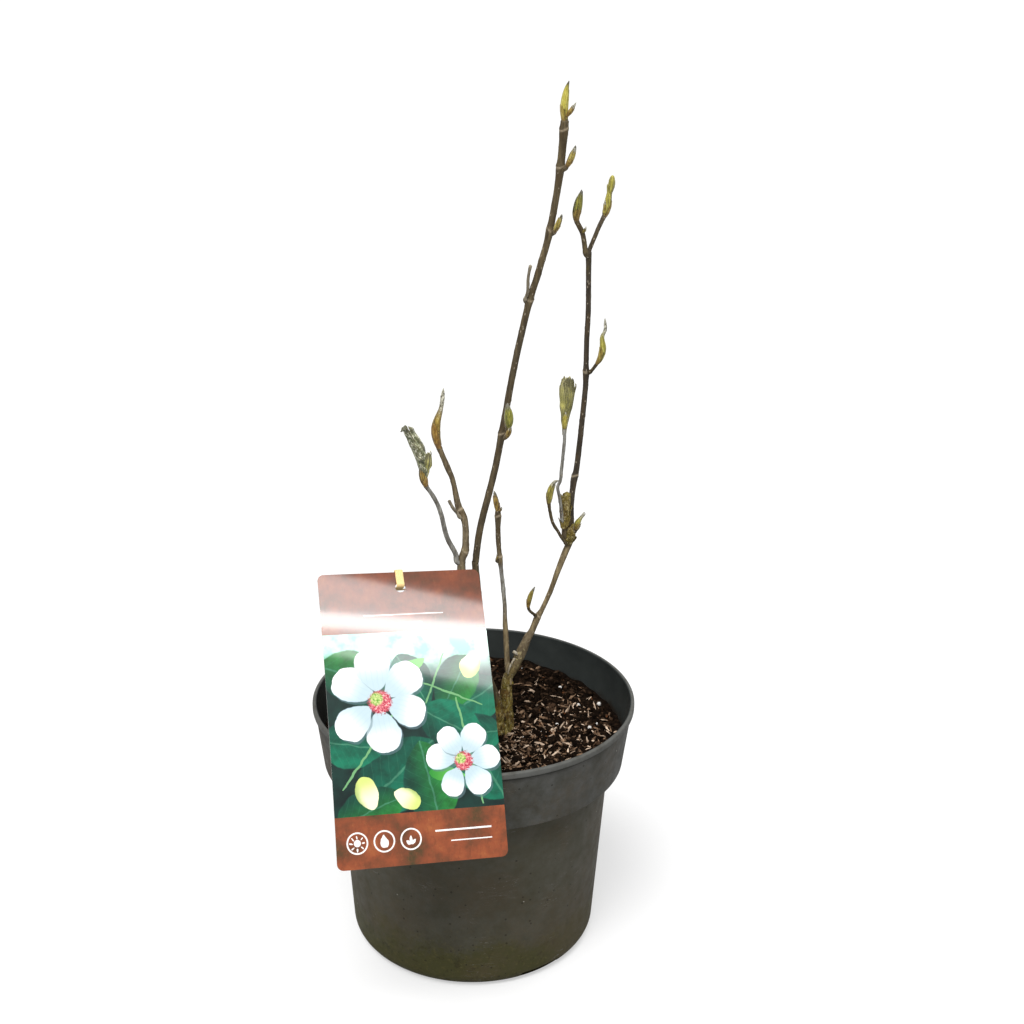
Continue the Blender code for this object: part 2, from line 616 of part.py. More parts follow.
def shrub(parts, cutters):
    bark = material("bark", (0.11, 0.075, 0.04), 0.8)
    young_bark = material("young_bark", (0.085, 0.055, 0.045), 0.7)
    bud_scales = material("bud_scales", (0.21, 0.22, 0.03), 0.5)
    limbs = {}
    arms = []
    for name, stem in STEMS.items():
        path, radii = stem_path(stem)
        arm, limbs[name] = split_path(path, radii, stem["leaves_trunk"])
        arms.append(arm)
        add_object(name, tube_mesh(*limbs[name]), parts, bark)
    trunk(arms, parts, cutters, bark)
    for name, bough in BOUGHS.items():
        route = twig_path(bough, limbs, 4)
        limbs[name] = route, np.linspace(*bough["radii"], len(route))
        add_object(name, tube_mesh(*limbs[name]), parts, young_bark)
    for name, twig in TWIGS.items():
        path = twig_path(twig, limbs, 2.4)
        run = arc_length(path) / arc_length(path)[-1]
        meshes = [tube_mesh(path, bud_radii(run, *twig["radii"], twig["bud"]))]
        for route, widest in twig.get("scales", ()):
            points = smooth_route(route, 1.8)
            share = arc_length(points) / arc_length(points)[-1]
            meshes.append(tube_mesh(points, bud_radii(share, widest * 0.8, widest, 0.25, 0.2), 1))
        meshes += [leaf_mesh(leaf) for leaf in twig.get("leaves", ())]
        add_object(name, fused_mesh(meshes), parts, bud_scales)
    return limbs


def label_point(across, up, depth=0.0):
    """A point of the bowed card: across from its middle, up from its resting line, depth behind it."""
    turn, lean, roll, bow, bearing = (math.radians(angle) for angle in (
        LABEL_TURN, LABEL_LEAN, LABEL_ROLL, LABEL_BOW, LABEL_REST_BEARING))
    level = Vector((math.cos(turn), math.sin(turn), 0))
    inward = Vector((-math.sin(turn), math.cos(turn), 0))
    out = RIM_RADIUS + LABEL_REST_OUT
    rest = Vector((out * math.cos(bearing), out * math.sin(bearing), POT_HEIGHT - LABEL_REST_DOWN))
    rise = math.sin(bow * up) / bow - depth * math.sin(bow * up)
    back = (1 - math.cos(bow * up)) / bow + depth * math.cos(bow * up)
    aside = across + LABEL_SHIFT
    rolled = aside * math.cos(roll) - rise * math.sin(roll)
    rise = aside * math.sin(roll) + rise * math.cos(roll)
    inwards = rise * math.sin(lean) + back * math.cos(lean)
    height = rise * math.cos(lean) - back * math.sin(lean)
    return rest + level * rolled + inward * inwards + Vector((0, 0, height))


def label(parts, cutters):
    """The card as an open sheet of rows that are shorter at its round corners, made solid."""
    corner_drop = [LABEL_CORNER * (1 - math.cos(math.radians(a))) for a in (0, 30, 60, 90)]
    corner_side = [LABEL_CORNER * (1 - math.sin(math.radians(a))) for a in (0, 30, 60, 90)]
    middle = np.linspace(LABEL_CORNER, LABEL_HEIGHT - LABEL_CORNER, 20)[1:-1]
    drops = corner_drop + list(middle) + [LABEL_HEIGHT - drop for drop in reversed(corner_drop)]
    sides = corner_side + [0] * len(middle) + list(reversed(corner_side))
    places = []
    for drop, side in zip(drops, sides):
        half = LABEL_WIDTH / 2 - side
        places += [label_point(half * share, LABEL_ABOVE_RIM - drop) * MM for share in (-1, -0.33, 0.33, 1)]
    faces = [(row * 4 + i, row * 4 + i + 4, row * 4 + i + 5, row * 4 + i + 1)
             for row in range(len(drops) - 1) for i in range(3)]
    mesh = bpy.data.meshes.new("label")
    mesh.from_pydata(places, [], faces)
    card = add_object("label", mesh, parts, material("label", (0.16, 0.2, 0.12), 0.3))
    shell = card.modifiers.new("thickness", "SOLIDIFY")
    shell.thickness = LABEL_THICKNESS * MM
    shell.offset = 0
    hole = LABEL_ABOVE_RIM - HOLE_BELOW_TOP
    centre = label_point(0, hole)
    axis = label_point(0, hole, 1) - centre
    bm = bmesh.new()
    bmesh.ops.create_cone(bm, cap_ends=True, segments=20, radius1=HOLE_RADIUS * MM,
                          radius2=HOLE_RADIUS * MM, depth=4 * MM)
    mesh = bpy.data.meshes.new("hole_cutter")
    bm.to_mesh(mesh)
    bm.free()
    mesh.transform(Matrix.Translation(centre * MM) @ axis.to_track_quat("Z", "Y").to_matrix().to_4x4())
    cut(card, add_cutter("hole_cutter", mesh, cutters))


def label_tie(limbs, parts):
    """The elastic, swept as a flat section that turns from the card's plane to the stem's."""
    hole = LABEL_ABOVE_RIM - HOLE_BELOW_TOP
    across = label_point(1, hole) - label_point(0, hole)
    path = limbs["left_stem"][0]
    index = int(np.argmax(path[:, 2] > BAND_HEIGHT))
    below, above = Vector(path[index - 1]), Vector(path[index])
    stem = below.lerp(above, (BAND_HEIGHT - below.z) / (above.z - below.z))
    upright = (above - below).normalized()
    stops = [(label_point(0, hole + up, depth), across) for up, depth in BAND_OVER_CARD]
    start = label_point(1.5, hole + 7, 5)
    loop = [stem + Vector((math.cos(turn), math.sin(turn), 0)) * BAND_LOOP_RADIUS
            for turn in np.radians(BAND_LOOP_BEARINGS)]
    for share in (0, 0.4, 0.75):
        stops.append((start.lerp(loop[0], share), across.lerp(upright, 0.35 + 0.65 * share)))
    stops += [(place, upright) for place in loop]
    finish = label_point(0.5, hole + 0.4, 4)
    for share in (0.3, 0.65, 1):
        stops.append((stops[-1][0].lerp(finish, 0.3 if share < 1 else 1), upright.lerp(across, share)))
    places = closed_samples([stop[0] for stop in stops], 3)
    widths = closed_samples([stop[1] for stop in stops], 3)
    count = len(places)
    corners = []
    for index in range(count):
        along = Vector(places[(index + 1) % count] - places[index - 1]).normalized()
        side = Vector(widths[index])
        side = (side - along * side.dot(along)).normalized()
        face = along.cross(side)
        for s, f in ((-1, -1), (1, -1), (1, 1), (-1, 1)):
            edge = side * s * BAND_WIDTH / 2 + face * f * BAND_THICKNESS / 2
            corners.append((Vector(places[index]) + edge) * MM)
    faces = [(i * 4 + k, i * 4 + (k + 1) % 4, (i + 1) % count * 4 + (k + 1) % 4, (i + 1) % count * 4 + k)
             for i in range(count) for k in range(4)]
    mesh = bpy.data.meshes.new("label_tie")
    mesh.from_pydata(corners, [], faces)
    add_object("label_tie", mesh, parts, material("label_tie", (0.75, 0.55, 0.2), 0.6))


def closed_samples(points, per_span):
    """A smooth closed curve through the points, with the same number of steps in each span."""
    knots = np.array([tuple(point) for point in points], float)
    samples = []
    for index, a in enumerate(knots):
        before, b, after = (knots[(index + ahead) % len(knots)] for ahead in (-1, 1, 2))
        for t in np.linspace(0, 1, per_span, endpoint=False):
            samples.append(0.5 * (2 * a + (b - before) * t + (2 * before - 5 * a + 4 * b - after) * t ** 2
                                  + (3 * a - before - 3 * b + after) * t ** 3))
    return np.array(samples)


def main():
    for old in list(bpy.data.objects):
        bpy.data.objects.remove(old)
    parts = bpy.data.collections.new("potted magnolia")
    cutters = bpy.data.collections.new("cutters")
    bpy.context.scene.collection.children.link(parts)
    bpy.context.scene.collection.children.link(cutters)
    pot(parts, cutters)
    potting_mix(parts)
    limbs = shrub(parts, cutters)
    label(parts, cutters)
    label_tie(limbs, parts)


main()
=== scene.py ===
import math

import bpy
import numpy as np
from mathutils import Matrix, Vector


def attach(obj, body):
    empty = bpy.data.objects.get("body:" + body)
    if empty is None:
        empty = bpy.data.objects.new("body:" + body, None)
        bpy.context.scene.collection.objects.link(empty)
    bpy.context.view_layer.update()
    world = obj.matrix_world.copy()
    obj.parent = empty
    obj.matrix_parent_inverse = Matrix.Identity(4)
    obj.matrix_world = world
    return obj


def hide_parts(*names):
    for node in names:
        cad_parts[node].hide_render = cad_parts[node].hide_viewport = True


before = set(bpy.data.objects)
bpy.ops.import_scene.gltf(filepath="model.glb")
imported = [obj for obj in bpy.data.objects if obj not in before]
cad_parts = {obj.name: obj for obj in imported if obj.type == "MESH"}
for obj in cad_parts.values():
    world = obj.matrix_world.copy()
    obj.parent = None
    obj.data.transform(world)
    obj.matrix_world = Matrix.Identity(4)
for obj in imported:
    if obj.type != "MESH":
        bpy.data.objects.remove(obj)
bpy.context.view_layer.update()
print("frame loaded:", len(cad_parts), "solids")

mm = 0.001
draws = np.random.default_rng(41)
scene = bpy.context.scene


# Shapes as arrays: a surface is a dictionary of points, quads, tris and marks (values per point)

def gridQuads(rows, columns, wrap=False):
    last = columns if wrap else columns - 1
    r, c = np.meshgrid(np.arange(rows - 1), np.arange(last), indexing="ij")
    ahead = (c + 1) % columns
    cells = [r * columns + c, r * columns + ahead, (r + 1) * columns + ahead, (r + 1) * columns + c]
    return np.stack(cells, -1).reshape(-1, 4)


def noTris():
    return np.zeros((0, 3), int)


def arcLength(path):
    return np.concatenate([[0], np.cumsum(np.linalg.norm(np.diff(path, axis=0), axis=1))])


def runShare(path):
    # how far along the path each of its points lies, from 0 to 1
    run = arcLength(path)
    return run / run[-1]


def sampled(values, places, wanted):
    # vectors known at some places, read between them at the wanted ones
    return np.stack([np.interp(wanted, places, values[:, axis]) for axis in range(3)], axis=-1)


def unit(vectors):
    return vectors / np.linalg.norm(vectors, axis=-1, keepdims=True)


def fullTurn(steps):
    return np.linspace(0, 2 * np.pi, steps, endpoint=False)


def catmullRom(before, a, b, after, t):
    # the cubic from a to b whose slope at each end follows the neighbours on both sides
    return 0.5 * (2 * a + (b - before) * t + (2 * before - 5 * a + 4 * b - after) * t ** 2
                  + (3 * a - before - 3 * b + after) * t ** 3)


def smoothRoute(points, step):
    # Catmull-Rom curve: each span is a cubic of its two ends and their neighbours, then even steps of length
    knots = np.array(points, float)
    ends = np.vstack([2 * knots[0] - knots[1], knots, 2 * knots[-1] - knots[-2]])
    before, a, b, after = (ends[i:len(ends) - 3 + i, None] for i in range(4))
    t = np.linspace(0, 1, 24, endpoint=False)[None, :, None]
    dense = np.vstack([catmullRom(before, a, b, after, t).reshape(-1, 3), knots[-1]])
    run = arcLength(dense)
    even = np.linspace(0, run[-1], max(4, round(run[-1] / step) + 1))
    return sampled(dense, run, even)


def lumpNoise(points, size, seed=0):
    # value noise: a hashed height at each corner of a lattice, blended smoothly between corners, from -1 to 1
    cell = np.asarray(points, float) / size + seed * 17.31
    low = np.floor(cell).astype(np.int64)
    part = cell - low
    part = part * part * (3 - 2 * part)
    total = np.zeros(len(cell))
    for corner in np.ndindex(2, 2, 2):
        at = low + np.array(corner)
        mixed = (at[:, 0] * 73856093) ^ (at[:, 1] * 19349663) ^ (at[:, 2] * 83492791)
        height = np.sin((mixed % 100003) * 12.9898) * 43758.5453 % 1.0
        total += height * np.prod(np.where(np.array(corner), part, 1 - part), axis=1)
    return total * 2 - 1


def directions(path):
    return unit(np.gradient(path, axis=0))


def crossFrame(path, reference=(0.0, 1.0, 0.1)):
    # two unit vectors square to the path at each of its points, the first one also square to the reference
    along = directions(path)
    side = unit(np.cross(along, np.array(reference, float)))
    return along, side, np.cross(along, side)


def tube(path, radius, sides, reference=(0.0, 1.0, 0.1)):
    # point(s, a) = path(s) + radius(s, a) (side(s) cos a + up(s) sin a), closed by a pole at each end
    along, side, up = crossFrame(path, reference)
    turn = fullTurn(sides)
    reach = radius if np.ndim(radius) == 2 else np.repeat(np.asarray(radius, float)[:, None], sides, 1)
    ring = side[:, None] * np.cos(turn)[None, :, None] + up[:, None] * np.sin(turn)[None, :, None]
    rows = len(path)
    first = path[0] - along[0] * reach[0].mean() * 0.5
    last = path[-1] + along[-1] * reach[-1].mean() * 0.7
    points = np.vstack([(path[:, None] + ring * reach[..., None]).reshape(-1, 3), first, last])
    here = np.arange(sides)
    ahead = (here + 1) % sides
    foot, tip = rows * sides, rows * sides + 1
    ends = [np.stack([np.full(sides, foot), ahead, here], 1),
            np.stack([np.full(sides, tip), (rows - 1) * sides + here, (rows - 1) * sides + ahead], 1)]
    share = np.concatenate([np.repeat(runShare(path), sides), [0, 1]])
    return {"points": points, "quads": gridQuads(rows, sides, True), "tris": np.vstack(ends),
            "marks": {"share": share}}


def lathe(profile, segments):
    # point(p, a) = (r(p) cos a, r(p) sin a, z(p)), closed by a pole at each end of the profile
    r, z = np.array(profile[1:-1]).T
    turn = fullTurn(segments)
    points = np.stack([r[:, None] * np.cos(turn), r[:, None] * np.sin(turn),
                       np.repeat(z[:, None], segments, 1)], -1).reshape(-1, 3)
    poles = [(0, 0, profile[0][1]), (0, 0, profile[-1][1])]
    here = np.arange(segments)
    ahead = (here + 1) % segments
    foot, tip = len(points), len(points) + 1
    ends = [np.stack([np.full(segments, foot), ahead, here], 1),
            np.stack([np.full(segments, tip), foot - segments + here, foot - segments + ahead], 1)]
    return {"points": np.vstack([points, poles]), "quads": gridQuads(len(r), segments, True),
            "tris": np.vstack(ends), "marks": {}}


def slab(middle, thickness, marks=None):
    # front(u, v) = middle + normal h/2 and back(u, v) = middle - normal h/2, joined along the four borders
    rows, columns = middle.shape[:2]
    normal = np.cross(np.gradient(middle, axis=1), np.gradient(middle, axis=0))
    normal /= np.linalg.norm(normal, axis=2, keepdims=True) + 1e-9
    half = np.broadcast_to(np.asarray(thickness) / 2, (rows, columns))[..., None]
    count = rows * columns
    front = gridQuads(rows, columns)[:, ::-1]
    back = gridQuads(rows, columns) + count
    index = np.arange(count).reshape(rows, columns)
    border = np.concatenate([index[0], index[1:, -1], index[-1, -2::-1], index[-2:0:-1, 0]])
    ahead = np.roll(border, -1)
    rim = np.stack([border, ahead, ahead + count, border + count], 1)
    points = np.vstack([(middle + normal * half).reshape(-1, 3), (middle - normal * half).reshape(-1, 3)])
    flat = {name: np.tile(np.asarray(value).reshape(-1), 2) for name, value in (marks or {}).items()}
    return {"points": points, "quads": np.vstack([front, back, rim]), "tris": noTris(), "marks": flat}


def joined(surfaces):
    shift = np.cumsum([0] + [len(surface["points"]) for surface in surfaces])
    names = surfaces[0]["marks"].keys()
    return {"points": np.vstack([surface["points"] for surface in surfaces]),
            "quads": np.vstack([surface["quads"] + n for surface, n in zip(surfaces, shift)]),
            "tris": np.vstack([surface["tris"] + n for surface, n in zip(surfaces, shift)]),
            "marks": {name: np.concatenate([surface["marks"][name] for surface in surfaces])
                      for name in names}}


def setMarks(mesh, marks):
    for name, values in marks.items():
        mesh.attributes.new(name, "FLOAT", "POINT").data.foreach_set("value", values.astype(np.float32))


def makePiece(name, surface, finish, replaced=(), smooth=True):
    points, quads, tris = surface["points"], surface["quads"], surface["tris"]
    corners = np.concatenate([quads.ravel(), tris.ravel()]).astype(np.int32)
    sizes = np.concatenate([np.full(len(quads), 4), np.full(len(tris), 3)])
    mesh = bpy.data.meshes.new(name)
    mesh.vertices.add(len(points))
    mesh.vertices.foreach_set("co", (points * mm).ravel())
    mesh.loops.add(len(corners))
    mesh.loops.foreach_set("vertex_index", corners)
    mesh.polygons.add(len(sizes))
    mesh.polygons.foreach_set("loop_start", (np.cumsum(sizes) - sizes).astype(np.int32))
    mesh.update(calc_edges=True)
    mesh.validate()
    setMarks(mesh, surface["marks"])
    if smooth:
        mesh.shade_smooth()
    mesh.materials.append(finish)
    piece = bpy.data.objects.new(name, mesh)
    scene.collection.objects.link(piece)
    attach(piece, "root")
    if replaced:
        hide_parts(*replaced)
    return piece


def applied(piece):
    # the piece's modifiers become its mesh
    bpy.context.view_layer.update()
    mesh = bpy.data.meshes.new_from_object(piece.evaluated_get(bpy.context.evaluated_depsgraph_get()))
    piece.modifiers.clear()
    piece.data = mesh
    return piece


def carve(piece, cutter):
    # the cutter's surface is taken out of the piece, and the cutter goes
    mesh = bpy.data.meshes.new("cutter")
    mesh.from_pydata((cutter["points"] * mm).tolist(), [], cutter["quads"].tolist() + cutter["tris"].tolist())
    tool = bpy.data.objects.new("cutter", mesh)
    scene.collection.objects.link(tool)
    cut = piece.modifiers.new("cut", "BOOLEAN")
    cut.operation, cut.solver, cut.object = "DIFFERENCE", "EXACT", tool
    applied(piece)
    bpy.data.objects.remove(tool)


def rod(start, end, radius):
    # a plain closed cylinder between two points
    path = np.array([start, end], float)
    surface = tube(path, np.full(2, float(radius)), 48, (0.3, 1.0, 0.2))
    surface["points"][-2:] = path
    return surface


def brick(centre, size, bearing):
    # a box turned about Z
    corner = np.array(list(np.ndindex(2, 2, 2))) - 0.5
    c, s = math.cos(bearing), math.sin(bearing)
    points = (corner * size) @ np.array([[c, s, 0], [-s, c, 0], [0, 0, 1]]) + centre
    quads = np.array([[0, 1, 3, 2], [4, 6, 7, 5], [0, 4, 5, 1], [2, 3, 7, 6], [0, 2, 6, 4], [1, 5, 7, 3]])
    return {"points": points, "quads": quads, "tris": noTris(), "marks": {}}


# Materials: small helpers that put their nodes into the tree opened last, by newFinish or newGroup

work = {"tree": None}


def newFinish(name, roughness=0.6, **sockets):
    finish = bpy.data.materials.new(name)
    finish.use_nodes = True
    work["tree"] = finish.node_tree
    shader = finish.node_tree.nodes["Principled BSDF"]
    shader.inputs["Roughness"].default_value = roughness
    for socket, value in sockets.items():
        shader.inputs[socket.replace("_", " ")].default_value = value
    return finish, shader


def connect(value, socket):
    # a link from another node, or else a number, vector or colour set on the socket itself
    if isinstance(value, bpy.types.NodeSocket):
        work["tree"].links.new(value, socket)
    else:
        socket.default_value = (*value, 1) if socket.type == "RGBA" else value


def add(kind, inputs=None, **settings):
    node = work["tree"].nodes.new("ShaderNode" + kind)
    for setting, value in settings.items():
        setattr(node, setting, value)
    for socket, value in (inputs or {}).items():
        connect(value, node.inputs[socket])
    return node


def place(scale=(1, 1, 1), turn=(0, 0, 0)):
    # object coordinates in millimetres, stretched or turned where a pattern needs it
    size = tuple(value / mm for value in scale)
    where = add("TexCoord").outputs["Object"]
    return add("Mapping", {"Vector": where, "Scale": size, "Rotation": turn}).outputs[0]


def noise(vector, size, detail=4.0, roughness=0.55):
    look = {"Vector": vector, "Scale": 1 / size, "Detail": detail, "Roughness": roughness}
    return add("TexNoise", look).outputs["Fac"]


def ramp(value, stops):
    node = add("ValToRGB", {"Fac": value})
    elements = node.color_ramp.elements
    while len(elements) < len(stops):
        elements.new(0.5)
    for element, (position, colour) in zip(elements, stops):
        element.position = position
        element.color = (*colour, 1) if len(colour) == 3 else (colour[0],) * 3 + (1,)
    return node.outputs["Color"]


def band(value, low, high):
    # 0 below low, 1 above high, and a smooth step between
    limits = {"Value": value, "From Min": low, "From Max": high}
    return add("MapRange", limits, interpolation_type="SMOOTHSTEP").outputs["Result"]


def mix(factor, a, b, blend="MIX"):
    return add("Mix", {0: factor, 6: a, 7: b}, data_type="RGBA", blend_type=blend).outputs[2]


def sums(operation, a, b=0.0, c=0.0):
    return add("Math", {0: a, 1: b, 2: c}, operation=operation).outputs[0]


def times(a, b):
    return sums("MULTIPLY", a, b)


def plus(a, b):
    return sums("ADD", a, b)


def minus(a, b):
    return sums("SUBTRACT", a, b)


def larger(a, b):
    return sums("MAXIMUM", a, b)


def unsigned(a):
    return sums("ABSOLUTE", a)


def paint(under, colour, mask, share=1.0):
    # the colour laid over what is under it, where the mask is 1, by that share
    return mix(mask if share == 1.0 else times(mask, share), under, colour)


def mark(name):
    return add("Attribute", attribute_name=name, attribute_type="GEOMETRY").outputs["Fac"]


def bump(shader, height, distance, strength=1.0):
    raised = add("Bump", {"Height": height, "Distance": distance * mm, "Strength": strength})
    connect(raised.outputs["Normal"], shader.inputs["Normal"])


def newGroup(name, inputs, outputs):
    group = bpy.data.node_groups.new(name, "ShaderNodeTree")
    work["tree"] = group
    group.interface.new_socket("Vector", in_out="INPUT", socket_type="NodeSocketVector")
    for label, value in inputs.items():
        socket = group.interface.new_socket(label, in_out="INPUT", socket_type="NodeSocketFloat")
        socket.default_value = value
    for label in outputs:
        group.interface.new_socket(label, in_out="OUTPUT", socket_type="NodeSocketFloat")
    return group, group.nodes.new("NodeGroupInput").outputs, group.nodes.new("NodeGroupOutput").inputs


def placeGroup(group, inputs):
    node = work["tree"].nodes.new("ShaderNodeGroup")
    node.node_tree = group
    for socket, value in inputs.items():
        connect(value, node.inputs[socket])
    return node.outputs


def speckGroup():
    # small scattered specks: close to a cell's centre, in the few cells whose own draw is high enough
    group, given, out = newGroup("specks", {"Size": 4.0, "Radius": 0.2, "Share": 0.2}, ["Mask"])
    cells = add("TexVoronoi", {"Vector": given["Vector"], "Scale": sums("DIVIDE", 1.0, given["Size"])})
    near = sums("LESS_THAN", cells.outputs["Distance"], given["Radius"])
    chosen = add("SeparateColor", {"Color": cells.outputs["Color"]}).outputs[0]
    connect(times(near, sums("LESS_THAN", chosen, given["Share"])), out["Mask"])
    return group


def grimeGroup():
    # soft blotches of dried mud or algae, from two sizes of noise, heavier where Weight is high
    group, given, out = newGroup("grime", {"Size": 20.0, "Weight": 0.5}, ["Mask"])
    scale = sums("DIVIDE", 1.0, given["Size"])
    broad = add("TexNoise", {"Vector": given["Vector"], "Scale": scale, "Detail": 3.0}).outputs["Fac"]
    small = {"Vector": given["Vector"], "Scale": times(scale, 9.0), "Detail": 5.0, "Roughness": 0.7}
    blend = plus(times(broad, 0.65), times(add("TexNoise", small).outputs["Fac"], 0.35))
    connect(band(plus(blend, minus(given["Weight"], 0.5)), 0.42, 0.66), out["Mask"])
    return group


def outlineGroup():
    # a leaf or petal on the print: p runs from its foot to its tip and q across it, and it is filled where
    # |q| < (4 p'(1 - p')) to a power, with p' = p to the skew, so it is round or pointed, and widest early
    # or late
    given = {"U": 0.0, "V": 0.0, "Angle": 0.0, "Length": 20.0, "Width": 10.0, "Skew": 1.0, "Power": 0.5}
    group, given, out = newGroup("outline", given, ["Mask", "Along", "Side"])
    spot = add("SeparateXYZ", {"Vector": given["Vector"]}).outputs
    du, dv = minus(spot[0], given["U"]), minus(spot[1], given["V"])
    cosine, sine = sums("COSINE", given["Angle"]), sums("SINE", given["Angle"])
    ahead = plus(times(du, cosine), times(dv, sine))
    aside = minus(times(dv, cosine), times(du, sine))
    p = add("Clamp", {"Value": sums("DIVIDE", ahead, given["Length"])}).outputs[0]
    q = sums("DIVIDE", aside, times(given["Width"], 0.5))
    skewed = sums("POWER", p, given["Skew"])
    edge = sums("POWER", times(times(skewed, minus(1.0, skewed)), 4.0), given["Power"])
    connect(band(minus(edge, unsigned(q)), 0.0, 0.07), out["Mask"])
    connect(p, out["Along"])
    connect(q, out["Side"])
    return group


specks, grime, outline = speckGroup(), grimeGroup(), outlineGroup()


# Camera: where the photograph was taken from

camera = {
    "place": (0.0, -758.0, 540.0), "pitch": 19.75, "yaw": 1.6, "roll": -0.74, "lens": 50.0, "sensor": 36.0,
}


def addCamera():
    pitch, yaw, roll = (math.radians(camera[name]) for name in ("pitch", "yaw", "roll"))
    view = bpy.data.objects.new("camera", bpy.data.cameras.new("camera"))
    view.data.lens, view.data.sensor_width = camera["lens"], camera["sensor"]
    turn = (Matrix.Rotation(-yaw, 4, "Z") @ Matrix.Rotation(math.pi / 2 - pitch, 4, "X")
            @ Matrix.Rotation(-roll, 4, "Z"))
    view.matrix_world = Matrix.Translation([value * mm for value in camera["place"]]) @ turn
    scene.collection.objects.link(view)
    scene.camera = view


addCamera()


# Pot

potSize = {
    "height": 153.0, "rim": 95.0, "lipTall": 3.6, "lipIn": 1.4, "lipDeep": 2.4, "collarTall": 38.3,
    "collarFoot": 89.3, "bodyTop": 81.1, "bodyFoot": 74.0, "corner": 9.0, "wall": 1.3, "floor": 1.6,
    "rimRound": 0.9, "lipRound": 0.6, "ledgeRound": 1.1, "ledgeRoundInside": 1.2, "ledgeInside": 1.4,
    "slotBearings": (-56.4, 63.6, 183.6), "slot": (24.0, 27.0, 4.2), "sill": 1.7,
    "drains": 4, "drainRadius": 4.0, "drainRing": 42.0, "segments": 288,
}


def arc(centre, radius, start, end, steps=6):
    turn = np.radians(np.linspace(start, end, steps))
    return [(centre[0] + radius * math.cos(a), centre[1] + radius * math.sin(a)) for a in turn]


def potProfile():
    # from the middle of the floor's inside, up the inner wall, over the lip and down the outside, to the
    # middle of the underside
    p = potSize
    ledge, lipFoot, wall = p["height"] - p["collarTall"], p["height"] - p["lipTall"], p["wall"]
    inner, lip, edge = p["corner"] - wall, p["lipRound"], p["rimRound"]
    outside, inside = p["ledgeRound"], p["ledgeRoundInside"]
    nook = p["collarFoot"] - p["ledgeInside"] - wall
    top, bottom = (p["rim"] - p["lipIn"], lipFoot), (p["collarFoot"], ledge + 1.2)
    profile = [(0, p["floor"])] + [(r, p["floor"]) for r in (20, 40, p["bodyFoot"] - wall - inner - 2)]
    profile += arc((p["bodyFoot"] - wall - inner, p["floor"] + inner), inner, -90, 0)
    profile += [(p["bodyTop"] - wall - 0.6, ledge + wall - 1.0), (p["bodyTop"] - wall, ledge + wall)]
    profile += [(nook, ledge + wall)]
    profile += arc((nook, ledge + wall + inside), inside, -90, 0, 4)
    profile += [(p["rim"] - p["lipIn"] - wall, lipFoot), (p["rim"] - p["lipDeep"], p["height"] - 0.8)]
    profile += arc((p["rim"] - p["lipDeep"] + lip, p["height"] - lip), lip, 180, 90, 4)
    profile += arc((p["rim"] - edge, p["height"] - edge), edge, 90, 0)
    profile += arc((p["rim"] - lip, lipFoot + lip), lip, 0, -90, 4)
    profile += [(p["rim"] - p["lipIn"] - 0.25, lipFoot + 0.1)]
    profile += [(top[0] + (bottom[0] - top[0]) * t, top[1] + (bottom[1] - top[1]) * t)
                for t in np.linspace(0, 1, 24)[1:-1]]
    profile += arc((p["collarFoot"] - outside, ledge + outside), outside, 0, -90)
    profile += [(p["bodyTop"] + 1.0, ledge), (p["bodyTop"] + 0.2, ledge - 0.5)]
    profile += [(p["bodyTop"] + (p["bodyFoot"] - p["bodyTop"]) * t, ledge + (p["corner"] - ledge) * t)
                for t in np.linspace(0.02, 1, 30)[:-1]]
    profile += arc((p["bodyFoot"] - p["corner"], p["corner"]), p["corner"], 0, -90, 12)
    return profile + [(r, 0.0) for r in (60, 58)] + [(57, 0.5), (20, 0.5), (0, 0.5)]


